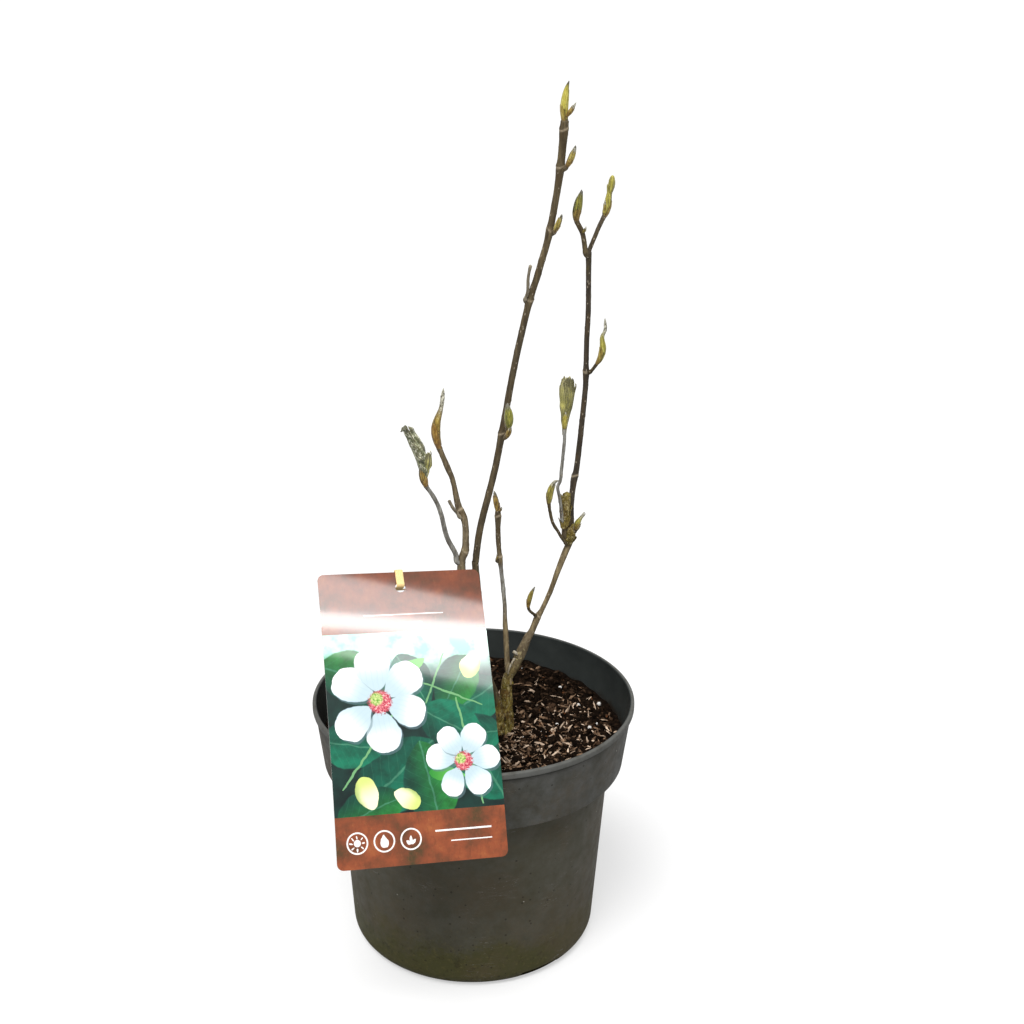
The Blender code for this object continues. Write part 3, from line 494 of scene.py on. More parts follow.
def potFinish():
    finish, shader = newFinish("pot plastic", Specular_IOR_Level=0.1)
    where = place()
    height = add("SeparateXYZ", {"Vector": where}).outputs["Z"]
    mottled = ramp(noise(where, 13, 6, 0.68),
                   [(0.32, (0.05, 0.048, 0.038)), (0.5, (0.07, 0.07, 0.062)), (0.68, (0.095, 0.095, 0.089))])
    # the body below the collar is browner than the collar, and its foot is olive with algae
    body = times(band(height, 118, 108), 0.45)
    tinted = mix(body, mottled, (0.07, 0.062, 0.033))
    low = band(height, 66, 2)
    algae = placeGroup(grime, {"Vector": where, "Size": 26.0, "Weight": sums("MULTIPLY_ADD", low, 0.5, 0.22)})
    tinted = paint(tinted, (0.052, 0.05, 0.012), algae["Mask"], 0.8)
    fine = times(band(noise(where, 2.6, 5, 0.8), 0.52, 0.68), band(height, 60, 10))
    tinted = paint(tinted, (0.11, 0.092, 0.034), fine, 0.55)
    coarse = times(band(noise(where, 6.0, 5, 0.75), 0.46, 0.36), band(height, 50, 8))
    tinted = paint(tinted, (0.024, 0.02, 0.01), coarse, 0.55)
    mud = placeGroup(grime, {"Vector": where, "Size": 44.0, "Weight": 0.5})
    tinted = paint(tinted, (0.085, 0.064, 0.038), mud["Mask"], 0.5)
    dark = placeGroup(specks, {"Vector": where, "Size": 4.6, "Radius": 0.14, "Share": 0.36})
    tinted = paint(tinted, (0.02, 0.018, 0.012), dark["Mask"], 0.6)
    pale = placeGroup(specks, {"Vector": where, "Size": 9.0, "Radius": 0.055, "Share": 0.3})
    tinted = paint(tinted, (0.36, 0.35, 0.31), pale["Mask"], 0.75)
    # scratches: thin level sets of a stretched noise, on the parts of the wall that rub against others
    streaks = noise(place((0.16, 0.16, 1.3), (0.3, 0.2, 0)), 3.0, 2)
    thin = sums("LESS_THAN", unsigned(minus(streaks, 0.5)), 0.004)
    rubbed = times(thin, band(noise(where, 22, 2), 0.52, 0.66))
    tinted = paint(tinted, (0.2, 0.2, 0.19), rubbed, 0.5)
    # the lip's top is painted pale as a highlight, broken up by noise, and a dark line under it is the lip's
    # painted shadow
    lip = times(band(height, 149.6, 150.2), band(noise(where, 5, 4), 0.2, 0.6))
    tinted = paint(tinted, (0.115, 0.117, 0.11), lip, 0.75)
    # painted shadow: a dark line just under the lip
    under = times(band(height, 147.6, 148.8), band(height, 149.7, 149.3))
    tinted = paint(tinted, (0.012, 0.012, 0.01), under, 0.8)
    connect(tinted, shader.inputs["Base Color"])
    connect(ramp(noise(where, 7, 5), [(0.3, (0.4,)), (0.7, (0.6,))]), shader.inputs["Roughness"])
    bump(shader, noise(where, 0.9, 3), 0.05, 0.5)
    return finish


def innerFinish():
    # the inside is almost black, darker than the outside: painted shade inside the pot on cleaner, damp
    # plastic, with splashes of mix near the bottom
    finish, shader = newFinish("pot inside", 0.42, Specular_IOR_Level=0.3)
    where = place()
    height = add("SeparateXYZ", {"Vector": where}).outputs["Z"]
    # near-black colour, partly painted shade of the pot's inside
    colour = ramp(noise(where, 16, 5), [(0.3, (0.021, 0.025, 0.024)), (0.7, (0.034, 0.039, 0.037))])
    weight = sums("MULTIPLY_ADD", band(height, 142, 128), 0.45, 0.12)
    splash = placeGroup(grime, {"Vector": where, "Size": 9.0, "Weight": weight})
    colour = paint(colour, (0.02, 0.013, 0.008), splash["Mask"], 0.8)
    connect(colour, shader.inputs["Base Color"])
    bump(shader, noise(where, 1.4, 3), 0.05, 0.5)
    return finish


def addPot():
    profile = potProfile()
    pot = makePiece("nurseryPot", lathe(profile, potSize["segments"]), potFinish(), ["pot"])
    pot.data.materials.append(innerFinish())
    top = int(np.argmax([point[1] for point in profile]))
    index = np.zeros(len(pot.data.polygons), np.int32)
    index[:(top - 1) * potSize["segments"]] = 1
    index[-2 * potSize["segments"]:-potSize["segments"]] = 1
    pot.data.polygons.foreach_set("material_index", index)
    for bearing in np.radians(potSize["slotBearings"]):
        out = potSize["bodyFoot"] + 2
        middle = (out * math.cos(bearing), out * math.sin(bearing), potSize["sill"] + potSize["slot"][2] / 2)
        carve(pot, brick(np.array(middle), np.array(potSize["slot"]), bearing))
    for number in range(potSize["drains"]):
        turn = math.tau * (number + 0.5) / potSize["drains"]
        x, y = potSize["drainRing"] * math.cos(turn), potSize["drainRing"] * math.sin(turn)
        carve(pot, rod((x, y, -3), (x, y, 5), potSize["drainRadius"]))
    pot.data.set_sharp_from_angle(angle=math.radians(42))


addPot()
print("pot")


# Potting mix: a lumpy top on a plug that fills the pot, with crumbs, fibres, chips and grains on it

mixSize = {
    "level": 129.0, "bank": 6.0, "lump": 0.66, "foot": (17.0, -1.0), "busy": (30.0, -20.0), "patch": 15.0,
    "bankFrom": 8.0, "bankOver": 78.0, "gap": 0.3, "bevel": (1.2, 0.6), "rings": 120, "segments": 300,
    # how far the crumbs lie under the mean level, how far out they reach, and their distance from the foot
    "sink": 0.5, "reach": 0.96, "clear": 6.0,
}


def collarInside(height, inset):
    ledge = potSize["height"] - potSize["collarTall"]
    bevel = mixSize["bevel"][1]
    share = (height - ledge - inset - bevel) / (potSize["collarTall"] - potSize["lipTall"] - inset - bevel)
    return potSize["collarFoot"] - inset + share * (potSize["rim"] - potSize["lipIn"] - potSize["collarFoot"])


def mixHeight(x, y):
    # level round the stems, banked up towards the back, gently lumpy elsewhere
    m = mixSize
    lumps = (np.sin(x * 0.21 + 1.3) * np.sin(y * 0.17 + 0.4) + 0.6 * np.sin(x * 0.37 - y * 0.29)
             + 0.4 * np.sin(x * 0.08 - y * 0.43 + 2.0))
    away = np.clip((np.hypot(x - m["foot"][0], y - m["foot"][1]) - m["patch"]) / m["patch"], 0, 1)
    banked = np.clip((y - m["bankFrom"]) / m["bankOver"], 0, 1) ** 1.4
    return m["level"] + away * m["lump"] * lumps + m["bank"] * banked


def crumbs(x, y):
    return 0.9 * lumpNoise(np.stack([x, y, 0 * x], 1), 4.2, 1)


def mixSurface():
    m, p = mixSize, potSize
    inset = p["wall"] + m["gap"]
    rim = collarInside(m["level"], inset)
    top = [(rim * t, m["level"]) for t in np.linspace(0, 1, m["rings"])]
    ledge = p["height"] - p["collarTall"] + inset
    inner = p["corner"] - inset
    across, tall = m["bevel"]
    side = [(p["collarFoot"] - inset, ledge + tall), (p["collarFoot"] - across - inset, ledge),
            (p["bodyTop"] - inset, ledge)]
    side += arc((p["bodyFoot"] - inset - inner, p["floor"] + m["gap"] + inner), inner, 0, -90)
    surface = lathe(top + side + [(0, p["floor"] + m["gap"])], m["segments"])
    points = surface["points"]
    upper = points[:, 2] > m["level"] - 0.5
    x, y = points[upper, 0], points[upper, 1]
    crumbly = crumbs(x, y) + 0.55 * lumpNoise(np.stack([x, y, 0 * x], 1), 1.7, 2)
    edge = np.clip((rim - np.hypot(x, y)) / 3, 0, 1)
    height = mixHeight(x, y)
    reach = 1 + (collarInside(height, inset) / rim - 1) * (1 - edge)
    points[upper] = np.stack([x * reach, y * reach, height + crumbly * edge - m["sink"]], 1)
    return surface


def soilFinish(name, stops, size, roughness=0.95):
    finish, shader = newFinish(name, roughness, Specular_IOR_Level=0.06)
    where = place()
    connect(ramp(noise(where, size, 5, 0.7), stops), shader.inputs["Base Color"])
    bump(shader, noise(where, 0.8, 4), 0.3, 0.7)
    return finish


def scatterPlaces(count, crowd):
    # random places on the mix, away from the stems' foot; with crowd above 0, fewer far from the busy spot
    angle, out = draws.uniform(0, math.tau, count * 3), np.sqrt(draws.uniform(0, 1, count * 3))
    rim = collarInside(mixSize["level"], 2.2) * mixSize["reach"]
    x, y = out * rim * np.cos(angle), out * rim * np.sin(angle)
    clear = np.hypot(x - mixSize["foot"][0], y - mixSize["foot"][1]) > mixSize["clear"]
    far = np.hypot(x - mixSize["busy"][0], y - mixSize["busy"][1]) / rim
    clear &= draws.uniform(0, 1, len(x)) > crowd * (1 - np.exp(-(far / 0.6) ** 2))
    return x[clear][:count], y[clear][:count]


def spunAxes(count, tilt):
    # one set of three square axes for each copy: a random bearing, tipped a little from level
    bearing, lean = draws.uniform(0, math.tau, count), draws.normal(0, tilt, count)
    side = draws.uniform(-3, 3, count) * tilt
    a = np.stack([np.cos(bearing) * np.cos(lean), np.sin(bearing) * np.cos(lean), np.sin(lean)], 1)
    level = np.stack([-np.sin(bearing), np.cos(bearing), 0 * bearing], 1)
    c = np.cross(a, level)
    b = level * np.cos(side)[:, None] + c * np.sin(side)[:, None]
    return a, b, np.cross(a, b)


def copies(shape, faces, centres, sizes, axes, wobble):
    # point(copy, p) = centre + a x_p + b y_p + c z_p, with each point of each copy pushed a little at random
    count, each = len(centres), len(shape)
    local = shape[None] * sizes[:, None] * (1 + draws.normal(0, wobble, (count, each, 1)))
    a, b, c = (axis[:, None] for axis in axes)
    points = centres[:, None] + a * local[..., :1] + b * local[..., 1:2] + c * local[..., 2:]
    numbers = (faces[None] + np.arange(count)[:, None, None] * each).reshape(-1, faces.shape[1])
    quads, tris = (numbers, noTris()) if faces.shape[1] == 4 else (np.zeros((0, 4), int), numbers)
    return {"points": points.reshape(-1, 3), "quads": quads, "tris": tris, "marks": {}}


def lumpShape():
    # twenty faces round a centre, as on a regular icosahedron
    g = (1 + math.sqrt(5)) / 2
    points = np.array([(-1, g, 0), (1, g, 0), (-1, -g, 0), (1, -g, 0), (0, -1, g), (0, 1, g), (0, -1, -g),
                       (0, 1, -g), (g, 0, -1), (g, 0, 1), (-g, 0, -1), (-g, 0, 1)]) / math.hypot(1, g)
    faces = np.array([(0, 11, 5), (0, 5, 1), (0, 1, 7), (0, 7, 10), (0, 10, 11), (1, 5, 9), (5, 11, 4),
                      (11, 10, 2), (10, 7, 6), (7, 1, 8), (3, 9, 4), (3, 4, 2), (3, 2, 6), (3, 6, 8),
                      (3, 8, 9), (4, 9, 5), (2, 4, 11), (6, 2, 10), (8, 6, 7), (9, 8, 1)])
    return points, faces


def splinterShape():
    # a strip of five four-sided rings, narrow at its ends and bent once
    along = np.linspace(-1, 1, 5)
    width = np.array([0.35, 0.85, 1.0, 0.8, 0.25])[:, None]
    ring = np.array([(-1, -1), (1, -1), (1, 1), (-1, 1)])
    side, up = (width * ring[:, 0]).ravel(), (np.sqrt(width) * ring[:, 1]).ravel()
    bend = np.repeat(0.72 * (1 - along ** 2), 4)
    points = np.stack([np.repeat(along, 4), side, up + bend], 1)
    faces = np.vstack([gridQuads(5, 4, True), [[3, 2, 1, 0], [16, 17, 18, 19]]])
    return points, faces


def scatter(name, shape, count, sizes, finish, tilt=0.35, lift=0.3, wobble=0.16, crowd=0.0):
    m = mixSize
    x, y = scatterPlaces(count, crowd)
    spread = draws.uniform(0, 1, (len(x), 1)) ** 1.6
    low, high = np.array(sizes[0]), np.array(sizes[1])
    size = low + (high - low) * spread
    size = size * draws.uniform(0.75, 1.25, size.shape)
    ground = mixHeight(x, y) - m["sink"] + crumbs(x, y)
    centres = np.stack([x, y, ground + size[:, 2] * lift], 1)
    surface = copies(shape[0], shape[1], centres, size, spunAxes(len(x), tilt), wobble)
    return makePiece(name, surface, finish, smooth=False)


def addMix():
    peat = [(0.3, (0.001, 0.0005, 0.0003)), (0.52, (0.006, 0.003, 0.0014)), (0.8, (0.04, 0.022, 0.012))]
    dark = soilFinish("dark peat", peat, 3.0)
    brown = soilFinish("brown bark", [(0.3, (0.008, 0.004, 0.002)), (0.7, (0.07, 0.04, 0.023))], 2.5)
    rust = soilFinish("red bark", [(0.3, (0.03, 0.011, 0.004)), (0.7, (0.14, 0.055, 0.022))], 2.5)
    tan = soilFinish("tan fibre", [(0.38, (0.035, 0.018, 0.009)), (0.64, (0.33, 0.21, 0.13))], 5.0, 0.85)
    straw = soilFinish("pale fibre", [(0.34, (0.13, 0.08, 0.05)), (0.66, (0.8, 0.62, 0.46))], 6.0, 0.85)
    white = soilFinish("perlite", [(0.3, (0.5, 0.48, 0.44)), (0.7, (0.75, 0.73, 0.7))], 1.0)
    makePiece("pottingMix", mixSurface(), dark, ["potting_mix"])
    lump, splinter = lumpShape(), splinterShape()
    scatter("peatCrumbs", lump, 5200, ((0.5, 0.45, 0.35), (3.2, 2.4, 1.9)), dark)
    scatter("barkCrumbs", lump, 2400, ((0.35, 0.3, 0.25), (2.2, 1.5, 1.0)), brown, lift=0.7)
    scatter("redCrumbs", lump, 260, ((0.4, 0.3, 0.2), (1.8, 1.1, 0.6)), rust, lift=0.8)
    scatter("barkChips", splinter, 620, ((1.0, 0.5, 0.25), (3.8, 1.5, 0.5)), brown, lift=1.6)
    scatter("redChips", splinter, 90, ((1.2, 0.5, 0.2), (3.4, 1.1, 0.4)), rust, lift=1.9)
    scatter("tanFibres", splinter, 1300, ((0.4, 0.18, 0.1), (3.2, 0.85, 0.32)), tan, tilt=0.5, lift=4.2,
            crowd=0.9)
    scatter("paleFibres", splinter, 760, ((0.35, 0.16, 0.1), (3.4, 0.8, 0.3)), straw, tilt=0.55, lift=4.8,
            crowd=1.0)
    scatter("perlite", lump, 34, ((0.5, 0.45, 0.4), (1.6, 1.4, 1.2)), white, lift=1.1, wobble=0.08)


addMix()
print("potting mix")


# Stems: each a route from its foot to its tip, its girth over height, its bud nodes and pale scars

stems = {
    "tallStem": {
        "route": ((15.5, -0.5, 122), (15.2, -0.7, 131), (14.2, -1.5, 143.7), (13.1, -2, 150),
                  (10.4, -2.9, 159), (8.2, -3.6, 166.5), (5, -6, 191), (0.7, -9, 236.5),
                  (0.8, -9.1, 242), (3.2, -8, 261), (10.2, -5, 290), (13.4, -3.6, 306), (20.8, 0, 349),
                  (25.3, 1.5, 370.8), (29.2, 2.6, 388), (32.8, 3.4, 399.7), (36, 4.1, 411.2),
                  (39, 4.6, 422.7), (43, 5, 446.3), (44.9, 4.6, 464.1), (46, 4, 482)),
        "girth": ((126, 4.6), (131, 3.9), (140, 3.2), (152, 2.7), (240, 1.95), (350, 1.83), (440, 1.85),
                  (458, 2.05), (482, 2.15)),
        "tints": ((122, 0.34), (230, 0.3), (250, 0.15), (330, 0.18), (370, 0.16), (420, 0.3), (482, 0.22)),
        "nodes": (314, 388, 425, 458, 477), "node": "tall_stem", "rough": 28,
    },
    "rightStem": {
        "route": ((20.5, 1.1, 122), (20.4, 1.5, 129.4), (20, 2, 138), (19.3, 2.8, 148), (19.4, 3.7, 156),
                  (20.3, 4.5, 162), (24.2, 5.6, 168.6), (26.8, 6.8, 174.5), (29.5, 7.9, 180.6),
                  (31.6, 8.7, 185.4), (34.2, 9.4, 189.9), (37.4, 10.7, 198.1), (40.1, 11.3, 203),
                  (44.6, 12.3, 213.7), (48.4, 13, 225.2), (52.4, 13.6, 236.7), (54.9, 14, 243.5),
                  (55, 14.4, 249), (55.4, 15.2, 258), (55.9, 16, 270), (57, 16.6, 281),
                  (58.6, 17.2, 290.3), (61.2, 18.8, 320.4), (62.3, 19.7, 337), (62.3, 20.4, 350),
                  (62.3, 21, 362.6), (62.7, 21.7, 380.8), (62, 23, 411)),
        "girth": ((123, 3.6), (131, 3.35), (138, 3.2), (146, 3.55), (152, 3.5), (157, 3.2), (162, 2.9),
                  (169, 2.85), (175, 3.1), (178, 3), (181, 2.7), (186, 2.4), (190, 1.95), (198, 1.7),
                  (203, 1.45), (219, 1.48), (231, 1.8), (242, 2), (248, 2.7), (255, 2.5), (263, 1.75),
                  (278, 1.75), (290, 1.63), (338, 1.55), (350, 1.5), (404, 1.5), (411, 1.75)),
        "tints": ((122, 0.5), (184, 0.48), (200, 0.72), (240, 0.72), (247, 0.3), (262, 0.0), (411, 0.02)),
        "nodes": (197, 283, 344), "node": "right_stem", "rough": 62,
    },
    "thinStem": {
        "route": ((21.5, 2.6, 158), (20.5, 4, 163.4), (20, 5.2, 167.4),
                  (19.6, 7.2, 171.7), (19.2, 9.4, 178), (18.8, 10.6, 186), (18.2, 11.6, 195),
                  (18, 12.8, 203.7), (16.9, 14, 215.3), (15.6, 15.1, 226.9), (14.9, 15.4, 232.7),
                  (14.2, 15.8, 240), (13.7, 16.2, 248), (13.5, 17, 262)),
        "girth": ((158, 1.9), (176, 1.6), (188, 1.6), (198, 1.3), (203, 1.22), (227, 1.22), (233, 1.4),
                  (239, 1.35), (245, 1.5), (262, 1.6)),
        "tints": ((158, 0.6), (190, 0.7), (215, 1.0), (228, 1.0), (238, 0.34), (262, 0.34)),
        "nodes": (233, 258), "node": "thin_stem", "rough": 20,
    },
    "leftStem": {
        "route": ((13.5, -3.5, 122), (11.5, -4.8, 138), (8.2, -6.8, 149), (3.5, -9.2, 161),
                  (-1.5, -12, 186), (-5.5, -14, 213), (-7.4, -15, 241), (-5.3, -14, 249.5),
                  (-4.9, -13.2, 257), (-5, -12.5, 262.6), (-5.9, -11.6, 268), (-8.7, -10.5, 273.6),
                  (-10.1, -9.5, 279.2), (-11.2, -8.7, 285), (-12.7, -8, 290.8), (-15, -7.3, 296.2),
                  (-19.5, -6, 307.1)),
        "girth": ((126, 4.4), (131, 3.7), (140, 3.1), (152, 2.7), (238, 2.5), (250, 1.9), (262, 1.85),
                  (274, 1.85), (280, 1.65), (286, 1.4), (291, 1.45), (297, 1.75), (302, 1.5), (307, 1.45)),
        "tints": ((122, 0.5), (262, 0.52), (275, 0.42), (307, 0.36)),
        "nodes": (249, 271), "node": "left_stem", "rough": 40,
    },
}
boughs = {
    "leftBough": {
        "on": "leftStem", "height": 243, "bearing": 205,
        "route": ((-10.6, -17, 249), (-15.3, -20, 260), (-18.4, -24, 275), (-21.4, -26.4, 284),
                  (-26.3, -29, 293)),
        "radii": (1.5, 1.15), "node": "left_bough", "tint": 1.0,
    },
    "rightStub": {
        "on": "rightStem", "height": 247, "bearing": 218,
        "route": ((51.8, 11.8, 254), (52.2, 12.2, 262), (53.1, 12.4, 273)),
        "radii": (1.4, 1.6), "node": "right_stub", "tint": 0.42,
    },
}
barkDetail = {
    "step": 0.7, "sides": 36, "swell": 0.3, "swellTall": 3.5, "ring": 0.22, "ringAbove": 1.2, "ringTall": 0.7,
    "scar": 0.5, "pores": 0.5, "poreSize": (0.8, 0.34), "poreLift": 0.16,
    # where a twig leaves its limb: how far under the place on the axis, out of the skin and upwards
    "fork": (1.5, 0.9, 0.4),
    # size of ridges and knobs, and their height on young bark and what old bark adds
    "ridge": (0.85, 0.05, 0.2), "knob": (2.6, 0.06, 0.5), "oldBelow": 128,
}


def barkTube(path, girth, nodes, roughFoot, seed, tint):
    # radius(s, a) = girth(s) + node swellings + lengthwise ridges (strong at an old foot) + raised pores
    b = barkDetail
    local = np.random.default_rng(seed)
    height = path[:, 2]
    for node in nodes:
        girth = girth + b["swell"] * np.exp(-((height - node) / b["swellTall"]) ** 2)
        girth = girth + b["ring"] * np.exp(-((height - node - b["ringAbove"]) / b["ringTall"]) ** 2)
    run, sides = arcLength(path), b["sides"]
    s, a = np.meshgrid(run, fullTurn(sides), indexing="ij")
    mean = girth[:, None] + 0 * a
    spot = np.stack([np.cos(a) * mean, np.sin(a) * mean, s * 0.28], -1).reshape(-1, 3)
    old = np.clip(1 - (height - b["oldBelow"]) / roughFoot, 0, 1)[:, None]
    size, young, more = b["ridge"]
    ridges = lumpNoise(spot, size, seed).reshape(s.shape) * (young + more * old)
    size, young, more = b["knob"]
    knobs = lumpNoise(spot * (1, 1, 2.4), size, seed + 3).reshape(s.shape) * (young + more * old)
    count = int(run[-1] * b["pores"])
    along, bearing = local.uniform(0, run[-1], count), local.uniform(0, 2 * np.pi, count)
    size = local.uniform(0.6, 1.1, count)
    gap = (a[..., None] - bearing + np.pi) % (2 * np.pi) - np.pi
    tall, wide = b["poreSize"]
    reach = ((s[..., None] - along) / (tall * size)) ** 2 + (gap * mean[..., None] / wide) ** 2
    pore = np.exp(-reach).max(-1)
    # each node has a slanted ring scar just above its swelling
    scar = np.zeros(s.shape)
    for node in nodes:
        slant = height[:, None] + 0.5 * mean * np.cos(a + node) - node - b["ringAbove"]
        scar = np.maximum(scar, np.exp(-(slant / b["scar"]) ** 2))
    surface = tube(path, mean + ridges + knobs + pore * b["poreLift"], sides)
    shades = np.repeat(tint + 0 * height, sides)
    poles = [0, 0]
    surface["marks"].update(pore=np.append(pore, poles), scar=np.append(scar, poles),
                            ridge=np.append(ridges + knobs * 0.4, poles),
                            age=np.append(np.repeat(old[:, 0], sides), [old[0, 0], old[-1, 0]]),
                            tint=np.append(shades, [shades[0], shades[-1]]))
    return surface


def barkFinish():
    # the tint mark runs from dark brown over olive and tan to pale grey, mottled lengthwise; old bark at the
    # foot is olive and rough; pores and scars are pale, and hollows between ridges get painted shade
    finish, shader = newFinish("living bark", 0.68, Specular_IOR_Level=0.35)
    where = place()
    long = place((1, 1, 0.16))
    tone = ramp(mark("tint"), [(0.0, (0.082, 0.062, 0.04)), (0.25, (0.155, 0.114, 0.053)),
                               (0.5, (0.26, 0.2, 0.116)), (0.75, (0.36, 0.275, 0.145)),
                               (1.0, (0.4, 0.39, 0.35))])
    mottle = ramp(noise(long, 2.0, 6, 0.72),
                  [(0.34, (0.24, 0.21, 0.17)), (0.5, (0.52, 0.52, 0.52)), (0.66, (1.0, 1.0, 0.97))])
    fresh = mix(1.0, tone, mottle, "MULTIPLY")
    blotch = noise(place((1, 1, 0.5)), 4.5, 4, 0.65)
    fresh = paint(fresh, (0.07, 0.042, 0.014), band(blotch, 0.5, 0.66), 0.55)
    worn = ramp(noise(place((1, 1, 0.4)), 1.5, 7, 0.75),
                [(0.32, (0.034, 0.021, 0.004)), (0.46, (0.165, 0.11, 0.02)), (0.56, (0.31, 0.24, 0.055)),
                 (0.68, (0.56, 0.48, 0.22))])
    colour = mix(band(mark("age"), 0.15, 0.7), fresh, worn)
    russet = times(band(noise(where, 6.0, 3), 0.5, 0.6), band(mark("age"), 0.3, 0.6))
    colour = paint(colour, (0.13, 0.065, 0.012), russet, 0.65)
    damp = sums("MULTIPLY_ADD", band(mark("age"), 0.5, 1.0), 0.16, 0.34)
    moss = placeGroup(grime, {"Vector": where, "Size": 13.0, "Weight": damp})
    colour = paint(colour, (0.15, 0.13, 0.012), moss["Mask"], 0.6)
    # lifted flakes on old bark, pale, with a painted shadow line round them
    flakes = noise(place((1, 1, 0.6)), 1.7, 5, 0.7)
    old = band(mark("age"), 0.08, 0.3)
    colour = paint(colour, (0.46, 0.39, 0.19), times(band(flakes, 0.55, 0.6), old), 0.8)
    # painted shadow: a dark line round each pale flake
    under = times(band(flakes, 0.5, 0.535), band(flakes, 0.56, 0.545))
    colour = paint(colour, (0.03, 0.018, 0.006), times(under, old), 0.8)
    # painted shade in the hollows between ridges
    hollowShade = times(band(mark("ridge"), -0.04, -0.2), 0.75)
    colour = paint(colour, (0.018, 0.011, 0.005), hollowShade)
    colour = paint(colour, (0.42, 0.36, 0.27), band(mark("pore"), 0.3, 0.85), 0.8)
    ringed = times(mark("scar"), band(blotch, 0.34, 0.5))
    colour = paint(colour, (0.46, 0.37, 0.25), ringed, 0.8)
    connect(colour, shader.inputs["Base Color"])
    bump(shader, noise(long, 0.6, 5, 0.7), 0.14, 0.7)
    return finish


def growthPath(shoot, limbs, step):
    # a twig starts on its limb's axis, leaves it at its bearing, and then follows its own route
    path, girth = limbs[shoot["on"]]
    if "bearing" not in shoot:
        return smoothRoute([path[-6], path[-1], *shoot["route"]], step)
    index = int(np.argmax(path[:, 2] > shoot["height"]))
    along = directions(path)[index]
    turn = math.radians(shoot["bearing"])
    out = np.array([math.cos(turn), math.sin(turn), 0])
    out -= along * out.dot(along)
    out /= np.linalg.norm(out)
    centre = path[index]
    under, beyond, up = barkDetail["fork"]
    inside, skin = centre - along * under, centre + out * (girth[index] + beyond) + along * up
    return smoothRoute([inside, skin, *shoot["route"]], step)


def addStems():
    bark = barkFinish()
    limbs = {}
    for number, (name, stem) in enumerate(stems.items()):
        path = smoothRoute(stem["route"], barkDetail["step"])
        girth = np.interp(path[:, 2], *zip(*stem["girth"]))
        tint = np.interp(path[:, 2], *zip(*stem["tints"]))
        limbs[name] = path, girth
        surface = barkTube(path, girth, stem["nodes"], stem["rough"], 11 + number, tint)
        makePiece(name, surface, bark, [stem["node"]])
    for number, (name, bough) in enumerate(boughs.items()):
        path = growthPath(bough, limbs, barkDetail["step"])
        girth = np.linspace(*bough["radii"], len(path))
        limbs[name] = path, girth
        surface = barkTube(path, girth, (), 1, 31 + number, bough["tint"])
        makePiece(name, surface, bark, [bough["node"]])
    return limbs, bark


limbs, bark = addStems()
print("stems")


# Foot: the stems' lowest parts, a mossy swelling and root lobes grown into one, with ridged bark

foot = {
    "voxel": 0.42, "arms": {"tallStem": 156, "leftStem": 157, "rightStem": 182, "thinStem": 176},
    "lumps": ((13.8, -3.2, 133, 3.9), (14.0, -3.0, 140, 3.1), (17.2, -0.4, 131, 3.6), (16.6, -1.0, 138, 2.9),
              (12.4, -4.4, 129.5, 3.6)),
    "lobes": 6, "reach": 8.2, "rise": 1.6, "dip": 3.4, "depth": 9.0, "lobeRadii": (2.6, 1.2),
    "ridge": 0.4, "rib": 0.34, "knob": 0.3, "oldBelow": 129, "oldTall": 50, "smoothAbove": 178,
}


def ball(centre, radius):
    # point(t, a) = centre + radius (sin t cos a, sin t sin a, 1.25 cos t)
    t = np.linspace(0, np.pi, 14)[::-1]
    profile = list(zip(radius * np.sin(t), radius * np.cos(t)))
    surface = lathe(profile, 20)
    surface["points"] = surface["points"] * (1, 1, 1.25) + np.array(centre)
    return surface


def addFoot():
    # the parts are melted together on a voxel grid, then each point moves along its normal by ridges and
    # knobs
    shapes = []
    for name, top in foot["arms"].items():
        path, girth = limbs[name]
        low = path[:, 2] < top
        shapes.append(tube(path[low], girth[low] - np.linspace(-0.1, 0.25, low.sum()), 28))
    shapes += [ball(lump[:3], lump[3]) for lump in foot["lumps"]]
    for lobe in range(foot["lobes"]):
        turn = math.tau * (lobe + 0.35) / foot["lobes"]
        out = np.array([math.cos(turn), math.sin(turn), 0])
        start = np.array([*mixSize["foot"], mixSize["level"] + foot["rise"]])
        reach = foot["reach"] * (1 + 0.16 * math.sin(lobe * 2.3))
        knee = start + out * reach * 0.6 - (0, 0, foot["dip"])
        end = start + out * reach - (0, 0, foot["depth"])
        path = smoothRoute((start, knee, end), 0.8)
        shapes.append(tube(path, np.linspace(*foot["lobeRadii"], len(path)), 20))
    for shape in shapes:
        shape["marks"] = {}
    piece = makePiece("stemFoot", joined(shapes), bark, ["trunk"])
    melt = piece.modifiers.new("melt", "REMESH")
    melt.mode, melt.voxel_size = "VOXEL", foot["voxel"] * mm
    even = piece.modifiers.new("even", "SMOOTH")
    even.factor, even.iterations = 0.5, 9
    applied(piece)
    mesh = piece.data
    count = len(mesh.vertices)
    points, normals = np.empty(count * 3), np.empty(count * 3)
    mesh.vertices.foreach_get("co", points)
    mesh.vertices.foreach_get("normal", normals)
    points, normals = points.reshape(-1, 3) / mm, normals.reshape(-1, 3)
    low = np.clip(1 - (points[:, 2] - foot["oldBelow"]) / foot["oldTall"], 0, 1)
    spot = points * (1, 1, 0.22)
    ridges = lumpNoise(spot, 0.75, 5) * foot["ridge"] * (0.35 + low)
    ridges = ridges + lumpNoise(spot, 1.6, 9) * foot["rib"] * low
    knobs = lumpNoise(points, 2.2, 3) * foot["knob"] * (0.4 + low)
    fade = np.clip((foot["smoothAbove"] - points[:, 2]) / 6, 0, 1)
    points += normals * ((ridges + knobs) * fade)[:, None]
    mesh.vertices.foreach_set("co", (points * mm).ravel())
    speckle = np.clip(lumpNoise(points * (1, 1, 1.4), 1.0, 21) * 3 - 1.7, 0, 1)
    marks = {"pore": speckle, "scar": 0 * low, "age": np.clip(low * 2.2, 0.1, 1), "tint": 0 * low + 0.7,
             "ridge": (ridges + knobs * 0.5) * 0.8}
    setMarks(mesh, marks)
    mesh.shade_smooth()
    mesh.update()


